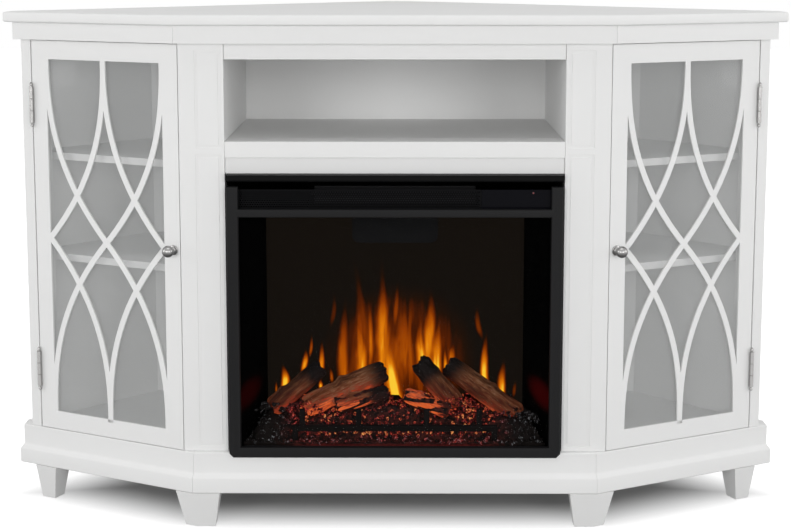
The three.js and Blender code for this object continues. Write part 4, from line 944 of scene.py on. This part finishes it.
def log_mesh(name, low, high, radii, glow, tone, charred, stub, seed, rings=72, sides=56):
    """A log with ridged bark, chipped ends and hollows, from its low end to its high end."""
    axis = high - low
    length = axis.length
    turn = Vector((1, 0, 0)).rotation_difference(axis)
    verts, grain, burnt, under = [], [], [], []

    def add(vert, across, along, char, glowing):
        verts.append(vert)
        grain.append((across, along))
        burnt.append(char)
        under.append(glowing)
        return len(verts) - 1

    for i in range(rings + 1):
        at = i / rings
        end = min(at, 1 - at) * length
        ragged = 1 + 1.5 * math.exp(-end / (9 * MM))
        for j in range(sides):
            angle = 2 * math.pi * j / sides
            ring = Vector((math.cos(angle), math.sin(angle)))
            outward = turn @ Vector((0, ring.x, ring.y))
            ridge = noise.noise(Vector((ring.x * 3.2, ring.y * 3.2, at * length * 22 + seed * 7)))
            knot = noise.noise(Vector((ring.x * 1.1, ring.y * 1.1, at * length * 30 + seed * 3)))
            chip = noise.noise(Vector((ring.x * 2.0 + 9, ring.y * 2.0, seed * 5.0 + round(at))))
            radius = radii[0] + (radii[1] - radii[0]) * at
            radius *= 1 + 0.10 * ridge * ragged + 0.10 * knot * ragged
            radius *= 1 - 0.26 * math.exp(-end / (2.4 * MM))
            away = ((at - stub) * length / (7 * MM)) ** 2 + (2.2 * (1 - outward.z)) ** 2
            radius += 4.5 * MM * math.exp(-away)
            x = at * length + (8 * MM * chip if i in (0, rings) else 0)
            # Painted light: how strongly the embers' red light shows here, more on the underside and toward
            # the log's low end.
            below = max(0.0, 0.75 - outward.z) ** 1.2 * (1.2 - at) * 0.8
            low_end = max(0.0, 1 - at * 2.2)
            add(low + turn @ Vector((x, radius * ring.x, radius * ring.y)), angle / (2 * math.pi) * 0.11, x,
                0.5 + 3.2 * max(charred[0] - at, at - charred[1]),
                glow * (below + 0.28 * low_end + 0.06 * glow))
    faces = []
    for i in range(rings):
        for j in range(sides):
            k = (j + 1) % sides
            faces.append([i * sides + j, (i + 1) * sides + j, (i + 1) * sides + k, i * sides + k])
    for base, along in ((0, 2.5 * MM), (rings * sides, length - 2.5 * MM)):
        centre = low + turn @ Vector((along, 0, 0))
        previous = list(range(base, base + sides))
        for step in (0.66, 0.33):
            level = []
            for j in range(sides):
                rough = 1.6 * MM * noise.noise(Vector((j * 0.9, step * 9, seed)))
                inset = centre.lerp(verts[base + j], step) + turn @ Vector((rough, 0, 0))
                level.append(add(inset, step * 0.02, j * MM, 1.1, 0.0))
            faces += [[previous[j], previous[(j + 1) % sides], level[(j + 1) % sides], level[j]]
                      for j in range(sides)]
            previous = level
        hub = add(centre, 0, 0, 1.1, 0.0)
        faces += [[previous[j], previous[(j + 1) % sides], hub] for j in range(sides)]
    mesh = plain_mesh(name, verts, faces)
    layer = mesh.uv_layers.new(name="grain")
    for loop in mesh.loops:
        layer.data[loop.index].uv = grain[loop.vertex_index]
    for label, values in (("burnt", burnt), ("under", under), ("pale", [tone] * len(verts))):
        mesh.attributes.new(label, "FLOAT", "POINT").data.foreach_set("value", values)
    return mesh


class CABINET_OT_logs(bpy.types.Operator):
    """Make the logs and the two thin branches with bark and glowing undersides"""

    bl_idname = "cabinet.logs"
    bl_label = "Logs"

    def execute(self, context):
        bark = bark_finish()
        for seed, (name, low_radius, high_radius, *grain) in enumerate((*LOGS, *BRANCHES)):
            mesh = log_mesh(name, *log_ends(name), (low_radius * MM, high_radius * MM), *grain, seed)
            replaced = [name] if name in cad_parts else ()
            piece(f"{name}_bark", mesh, bark, "cabinet", replaced, 60.0)
        return {"FINISHED"}


def ember_finish():
    """Dark coals of which some glow red or gold, painted gold glints beside the grate's uprights, ash at the
    sides and red light at the foot.
    """
    look = bpy.context.scene.cabinet_fire
    finish = Finish("embers", Specular_IOR_Level=0.1, Emission_Strength=1.0)
    x, y, z = finish.axes()
    mood = finish.attribute("mood")
    lumps = finish.noise(120.0, 4.0, 0.65)
    fine = finish.noise(430.0, 3.0, 0.6)
    middle = finish.span(abs(x), 0.225, 0.165)
    speck = finish.span(fine, 0.47, 0.60)
    bar_foot = 160 * MM
    under_bar = finish.span(z, bar_foot + 6 * MM, bar_foot + 2 * MM)
    under_bar = under_bar * finish.span(z, bar_foot - 4 * MM, bar_foot)
    # Painted highlights: gold glints on the coals just beside the grate's inner uprights.
    painted_glints = finish.span(abs(abs(x) - 0.13), 0.04, 0.0)
    painted_glints = painted_glints * finish.span(z, 0.205, 0.185) * finish.span(z, 0.168, 0.176)
    warm = mood + under_bar * 0.3 + painted_glints * 0.3 + (lumps - 0.5) * 0.8
    strip = finish.span(z, bar_foot, bar_foot - 4 * MM)
    ashen = finish.span(mood, 0.35, 0.75) * finish.span(z, 0.24, 0.17)
    ash = finish.span(fine, 0.53, 0.66) * (1 - middle * (0.8 - 0.7 * strip)) * ashen
    glow_amount = warm * (0.3 + 0.7 * speck) * middle * (1 - strip * (0.2 + 0.6 * ash))
    glow = finish.ramp(glow_amount, (
        (0.22, (0.0, 0.0, 0.0)), (0.40, (0.12, 0.008, 0.010)), (0.62, tuple(look.ember)),
        (0.84, (0.58, 0.085, 0.018)), (0.98, (0.80, 0.36, 0.09))))
    foot = finish.span(z, 0.150, 0.143) * finish.span(abs(x), 0.2, 0.12)
    finish.set("Emission Color", finish.blend(foot, glow, (0.042, 0.0015, 0.002), "ADD"))
    dark = finish.blend(lumps, (0.0014, 0.0012, 0.0012), (0.009, 0.006, 0.005))
    reddish = finish.blend(middle * finish.span(lumps, 0.4, 0.65), dark, (0.05, 0.012, 0.009))
    finish.set("Base Color", finish.blend(ash, reddish, (0.30, 0.31, 0.325)))
    finish.set("Roughness", 0.7 + 0.25 * fine)
    finish.bump(lumps + fine * 0.4, 1.5 * MM, 0.9)
    return finish.material


def clear_of(nodes, place, low, high, reach):
    """1 where a place is farther than reach from the line between two points."""
    run = high - low
    away = nodes.vector("SUBTRACT", place, low)
    along = nodes.vector("DOT_PRODUCT", away, run, 1)
    near = nodes.vector("SCALE", run, (along / run.length_squared).clamped())
    gap = nodes.vector("DISTANCE", away, near, 1)
    return nodes.node("FunctionNodeCompare", {"operation": "GREATER_THAN"}, {0: gap, 1: reach})


def coals_tree(nodes, inputs):
    """Rough coals scattered over the top of the bed, clear of the two branches."""
    normal = nodes.node("GeometryNodeInputNormal")
    place = nodes.node("GeometryNodeInputPosition")
    up = nodes.node("ShaderNodeSeparateXYZ", None, {0: normal}, 2)
    chosen = nodes.node("FunctionNodeCompare", {"operation": "GREATER_THAN"}, {0: up, 1: 0.1})
    for name, low_radius, *_ in BRANCHES:
        clear = clear_of(nodes, place, *log_ends(name), (low_radius + 3) * MM)
        chosen = nodes.node("FunctionNodeBooleanMath", {"operation": "AND"}, {0: chosen, 1: clear})
    points = nodes.node("GeometryNodeDistributePointsOnFaces", None, {
        "Mesh": inputs["Base"], "Selection": chosen, "Density": inputs["Density"], "Seed": 4})
    coal = nodes.node("GeometryNodeMeshIcoSphere", None, {"Radius": inputs["Size"] / 2, "Subdivisions": 1})
    wave = nodes.node("ShaderNodeTexNoise", None, {"Vector": place, "Scale": 190.0, "Detail": 1.0})
    push = (wave - 0.5) * (inputs["Size"] * 1.2)
    out = nodes.vector("SCALE", normal, push)
    rough = nodes.node("GeometryNodeSetPosition", None, {"Geometry": coal, "Offset": out})
    turn = nodes.node("FunctionNodeRandomValue", {"data_type": "FLOAT_VECTOR"}, {
        0: (0, 0, 0), 1: (6.28, 6.28, 6.28), "Seed": 2})
    size = nodes.node("FunctionNodeRandomValue", {"data_type": "FLOAT_VECTOR"}, {
        0: (0.4, 0.35, 0.3), 1: (1.3, 1.05, 0.85), "Seed": 7})
    spread = nodes.node("GeometryNodeInstanceOnPoints", None, {
        "Points": points, "Instance": rough, "Rotation": turn, "Scale": size})
    mood = nodes.node("FunctionNodeRandomValue", None, {2: 0.0, 3: 1.0, "Seed": 9}, 1)
    return nodes.node("GeometryNodeStoreNamedAttribute", {"domain": "INSTANCE", "data_type": "FLOAT"}, {
        "Geometry": spread, "Name": "mood", "Value": mood})


class CABINET_OT_embers(bpy.types.Operator):
    """Make the glowing bed, its loose coals and the grate"""

    bl_idname = "cabinet.embers"
    bl_label = "Ember bed and grate"

    def execute(self, context):
        look = context.scene.cabinet_fire
        glowing = ember_finish()
        bed = self.roughened(node_copy("ember_bed"))
        heaped = self.heaped(bed)
        area = sum(face.area for face in heaped.polygons if face.normal.z > 0.1)
        coals = grown("loose_coals", coals_tree, {
            "Density": ("Float", look.coals / area), "Size": ("Float", look.coal_size)}, glowing, heaped)
        piece("ember_bed_moulding", bed, glowing, replaced=["ember_bed"], sharp=60.0)
        piece("loose_coals", coals, glowing, sharp=None)
        iron = powder_coat("grate_iron", (0.004, 0.0032, 0.003), 0.7, 0.12, 0.05)
        dressed("log_grate", 1.4 * MM, iron, segments=3)
        return {"FINISHED"}

    def heaped(self, bed):
        """The bed with a low heap over the low end of each log."""
        bm = bmesh.new()
        bmesh.ops.create_icosphere(bm, subdivisions=3, radius=1.0)
        ball = mesh_of(bm, "heap")
        parts = [bed]
        for name, low_radius, *_ in LOGS:
            low, _ = log_ends(name)
            reach = low_radius * MM
            place = Matrix.Translation(low + Vector((0, -0.8 * reach, -0.25 * reach)))
            parts.append(moved(ball, place @ Matrix.Diagonal((1.7 * reach, 0.8 * reach, 1.15 * reach, 1))))
        return joined("loose_coals", parts)

    def roughened(self, mesh):
        """The bed with finer faces and its top broken into lumps."""
        bm = bmesh.new()
        bm.from_mesh(mesh)
        bmesh.ops.triangulate(bm, faces=bm.faces)
        for _ in range(2):
            long_edges = [e for e in bm.edges if e.calc_length() > 5 * MM]
            bmesh.ops.subdivide_edges(bm, edges=long_edges, cuts=1, use_grid_fill=False)
            bmesh.ops.triangulate(bm, faces=[f for f in bm.faces if len(f.verts) > 3])
        bm.normal_update()
        for vert in bm.verts:
            if vert.normal.z > 0.1:
                coarse, fine = noise.noise(vert.co * 160), noise.noise(vert.co * 420)
                vert.co += vert.normal * (2.4 * MM * coarse + 1.0 * MM * fine)
                vert.co.z -= self.notch(vert.co)
        return mesh_of(bm, "ember_bed")

    def notch(self, place):
        """How far the crest of the bed sinks between the upper ends of the two branches."""
        behind = min(1.0, max(0.0, (place.y - FRONT - 40 * MM) / (20 * MM)))
        above = max(0.0, place.z - 188 * MM)
        return behind * above * math.exp(-((place.x - 5 * MM) / (17 * MM)) ** 2)


class CABINET_OT_workings(bpy.types.Operator):
    """Dress the flicker rod, the blower and the power inlet"""

    bl_idname = "cabinet.workings"
    bl_label = "Flicker rod, blower and inlet"

    def execute(self, context):
        bright = zinc_plate("flicker_zinc", (0.62, 0.62, 0.60), 0.25)
        dressed("flicker_rod", 0.25 * MM, bright, "flicker_rod", 2, 40.0)
        # The housing is nearly black, darker than the other blacks, so that through the slot above the grille
        # it reads as shade: partly its black paint, partly painted shade.
        black_and_shade = powder_coat("blower_black_and_shade", (0.0005, 0.0005, 0.0005), 0.6, 0.04, 0.0)
        dressed("blower_housing", 0.5 * MM, black_and_shade)
        plastic = powder_coat("blower_plastic", (0.012, 0.012, 0.013), 0.4, 0.02)
        dressed("blower_wheel", 0.3 * MM, plastic, "blower_wheel", 1, 25.0)
        self.inlet(plastic)
        return {"FINISHED"}

    def inlet(self, plastic):
        """The round inlet in the back of the casing, with a rim and two pins."""
        low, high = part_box("power_inlet")
        middle = (low + high) / 2
        shell = plain_mesh("shell", *lathe([
            (0, 0), (10, 0), (10, 3.4), (9.4, 4), (7.6, 4), (7, 4.8), (7, 15.4), (6.6, 16), (5.2, 16),
            (5.0, 15.6), (5.0, 7), (0, 7)], 32))
        pin = plain_mesh("pin", *lathe([(0, 6), (1.1, 6), (1.1, 13.4), (0.7, 14), (0, 14)], 12))
        pins = [moved(pin, Matrix.Translation((x * MM, 0, 0))) for x in (-2.4, 2.4)]
        whole = joined("power_inlet", [shell, *pins])
        whole.transform(Matrix.Translation((middle.x, low.y, middle.z)) @ FACING.inverted())
        piece("power_inlet_moulding", whole, plastic, replaced=["power_inlet"])


def screw_tree(nodes, inputs):
    """Screw heads in a row, each sunk a little into the board."""
    gaps = math.floor(inputs["Length"] / inputs["Pitch"])
    step = nodes.node("ShaderNodeCombineXYZ", None, {0: inputs["Length"] / gaps})
    line = nodes.node("GeometryNodeMeshLine", {"mode": "OFFSET"}, {"Count": gaps + 1, "Offset": step})
    disc = nodes.node("GeometryNodeMeshCylinder", {"fill_type": "TRIANGLE_FAN"}, {
        "Vertices": 14, "Radius": inputs["Head"] / 2, "Depth": inputs["Head"] * 0.24})
    slots = [nodes.node("GeometryNodeMeshCube", None, {"Size": size}) for size in (
        (0.0036, 0.0009, 0.0021), (0.0009, 0.0036, 0.0021))]
    head = nodes.node("GeometryNodeMeshBoolean", {"operation": "DIFFERENCE", "solver": "EXACT"}, {
        "Mesh 1": disc, "Mesh 2": slots})
    return nodes.node("GeometryNodeInstanceOnPoints", None, {"Points": line, "Instance": head})


class CABINET_OT_fixings(bpy.types.Operator):
    """Set the rows of screws in the back boards"""

    bl_idname = "cabinet.fixings"
    bl_label = "Screws of the backs"

    def execute(self, context):
        look = context.scene.cabinet_metalwork
        zinc = zinc_plate("screw_zinc", (0.58, 0.58, 0.57), 0.3)
        start, end = 60 * MM, 640 * MM
        heights = (90 * MM, 480 * MM, 868 * MM)
        run = (end - start) * math.sqrt(2)
        ahead, up = Vector((1, -1, 0)).normalized(), Vector((0, 0, 1))
        turn = Matrix((ahead, up, ahead.cross(up))).transposed().to_4x4()
        sunk = Vector((1, 1, 0)).normalized() * (0.3 * MM)
        for hand, side in SIDES:
            rows = []
            for z in heights:
                row = grown("screws", screw_tree, {
                    "Length": ("Float", run), "Pitch": ("Float", look.screw_pitch),
                    "Head": ("Float", 7 * MM)}, zinc)
                row.transform(Matrix.Translation(Vector((start, WALL - start, z)) - sunk) @ turn)
                rows.append(row)
            whole = joined(f"{hand}_back_screws", rows)
            if side < 0:
                whole.transform(Matrix.Scale(-1, 4, (1, 0, 0)))
                whole.flip_normals()
            piece(f"{hand}_back_screws", whole, zinc, sharp=30.0)
        return {"FINISHED"}


# Stage


CAMERA_PLACE = (0.0116, -2.9559, 0.9951)
CAMERA_TURN = (82.853, 0, 0.302)  # in degrees
CAMERA_SHIFT = (0.0023, -0.1475)


def stage_white():
    """A floor that meets the camera as white; its white glow fades out along the cabinet's footprint, so
    under and beside the cabinet it is darker, partly painted shade and partly its real shadows.
    """
    finish = Finish("floor_white", Roughness=0.9, Specular_IOR_Level=0.0)
    seen = finish.seen()
    x, y, _ = finish.axes()
    front = FRONT - y
    wing = (abs(x) - FASCIA_HALF) * math.sin(WING_ANGLE) + front * math.cos(WING_ANGLE)
    rear = (abs(x) + y + (FRONT - 55 * MM)) * math.sqrt(0.5)
    # Painted shade in part: the white glow that the camera sees fades out along the cabinet's footprint,
    # darkening the floor next to and under it.
    far = finish.span(front.at_least(wing).at_least(rear), -0.13, 0.07)
    finish.set("Base Color", finish.blend(seen, (0.5, 0.5, 0.5), (0.42, 0.42, 0.42)))
    glow = finish.tree.nodes.new("ShaderNodeEmission")
    finish.tree.links.new((seen * far).socket, glow.inputs[1])
    whole = finish.tree.nodes.new("ShaderNodeAddShader")
    finish.tree.links.new(finish.surface.outputs[0], whole.inputs[0])
    finish.tree.links.new(glow.outputs[0], whole.inputs[1])
    finish.tree.links.new(whole.outputs[0], finish.out.inputs[0])
    return finish.material


class CABINET_OT_stage(bpy.types.Operator):
    """Lay the white floor and set the lamps, the sky and the camera"""

    bl_idname = "cabinet.stage"
    bl_label = "Floor, lamps and camera"

    def execute(self, context):
        scene = context.scene
        look = scene.cabinet_stage
        reach = 14.0
        floor = plain_mesh("floor", [Vector((x, y, -0.0005)) for x, y in (
            (-reach, -reach), (reach, -reach), (reach, reach), (-reach, reach))], [[0, 1, 2, 3]])
        ground = bpy.data.objects.new("floor", floor)
        scene.collection.objects.link(ground)
        floor.materials.append(stage_white())
        self.sky(scene, look.daylight)
        self.lamp("front_lamp", (0, -3.9, 1.1), (0, -0.1, 0.6), (1.6, 1.0), 12)
        for hand, side in SIDES:
            self.lamp(f"{hand}_lamp", (side * 1.8, -3.5, 1.15), (0, -0.1, 0.55), (1.4, 1.2), 28)
            self.lamp(f"outer_{hand}_lamp", (side * 3.5, -0.9, 1.2), (0, -0.1, 0.5), (1.6, 1.4), 23)
            self.lamp(f"rear_{hand}_lamp", (side * 2.6, 2.6, 0.9), (0, 0.1, 0.5), (1.8, 1.4), 20)
        self.lamp("upper_lamp", (0, -0.8, 3.6), (0, -0.1, 0.5), (2.4, 2.0), 24)
        self.camera(scene, look.lens)
        scene.view_settings.view_transform = "Standard"
        return {"FINISHED"}

    def sky(self, scene, strength):
        world = bpy.data.worlds.new("white_sky")
        world.use_nodes = True
        scene.world = world
        nodes = Nodes(world.node_tree)
        back = world.node_tree.nodes["Background"]
        back.inputs[0].default_value = (1, 1, 1, 1)
        world.node_tree.links.new((strength + nodes.seen() * (1 - strength)).socket, back.inputs[1])

    def lamp(self, name, place, target, size, power):
        data = bpy.data.lights.new(name, "AREA")
        data.shape, data.energy = "RECTANGLE", power
        data.size, data.size_y = size
        lamp = bpy.data.objects.new(name, data)
        bpy.context.scene.collection.objects.link(lamp)
        lamp.location = place
        lamp.rotation_euler = (Vector(target) - Vector(place)).to_track_quat("-Z", "Y").to_euler()

    def camera(self, scene, lens):
        data = bpy.data.cameras.new("camera")
        data.lens, data.sensor_width = lens / MM, 36
        data.shift_x, data.shift_y = CAMERA_SHIFT
        data.clip_start, data.clip_end = 0.05, 60
        camera = bpy.data.objects.new("camera", data)
        scene.collection.objects.link(camera)
        camera.location = CAMERA_PLACE
        camera.rotation_euler = [math.radians(angle) for angle in CAMERA_TURN]
        scene.camera = camera


# Add-on


OPERATORS = (CABINET_OT_stage, CABINET_OT_boards, CABINET_OT_doors, CABINET_OT_hardware,
             CABINET_OT_fire_front, CABINET_OT_flames, CABINET_OT_logs, CABINET_OT_embers,
             CABINET_OT_workings, CABINET_OT_fixings)


class CABINET_PT_panel(bpy.types.Panel):
    """The cabinet's settings and steps"""

    bl_idname = "CABINET_PT_panel"
    bl_label = "Corner fire cabinet"
    bl_space_type = "VIEW_3D"
    bl_region_type = "UI"
    bl_category = "Cabinet"

    def draw(self, context):
        layout = self.layout
        for attribute in SETTINGS:
            group = getattr(context.scene, attribute)
            box = layout.box()
            for setting in group.bl_rna.properties:
                if not setting.is_readonly and setting.identifier != "name":
                    box.prop(group, setting.identifier)
        for operator in OPERATORS:
            layout.operator(operator.bl_idname)


CLASSES = (*SETTINGS.values(), *OPERATORS, CABINET_PT_panel)


def register():
    for each in CLASSES:
        bpy.utils.register_class(each)
    for attribute, group in SETTINGS.items():
        setattr(bpy.types.Scene, attribute, PointerProperty(type=group))


def unregister():
    for attribute in SETTINGS:
        delattr(bpy.types.Scene, attribute)
    for each in reversed(CLASSES):
        bpy.utils.unregister_class(each)


def main():
    register()
    for operator in OPERATORS:
        getattr(bpy.ops.cabinet, operator.bl_idname.split(".")[1])()


if __name__ == "__main__":
    main()
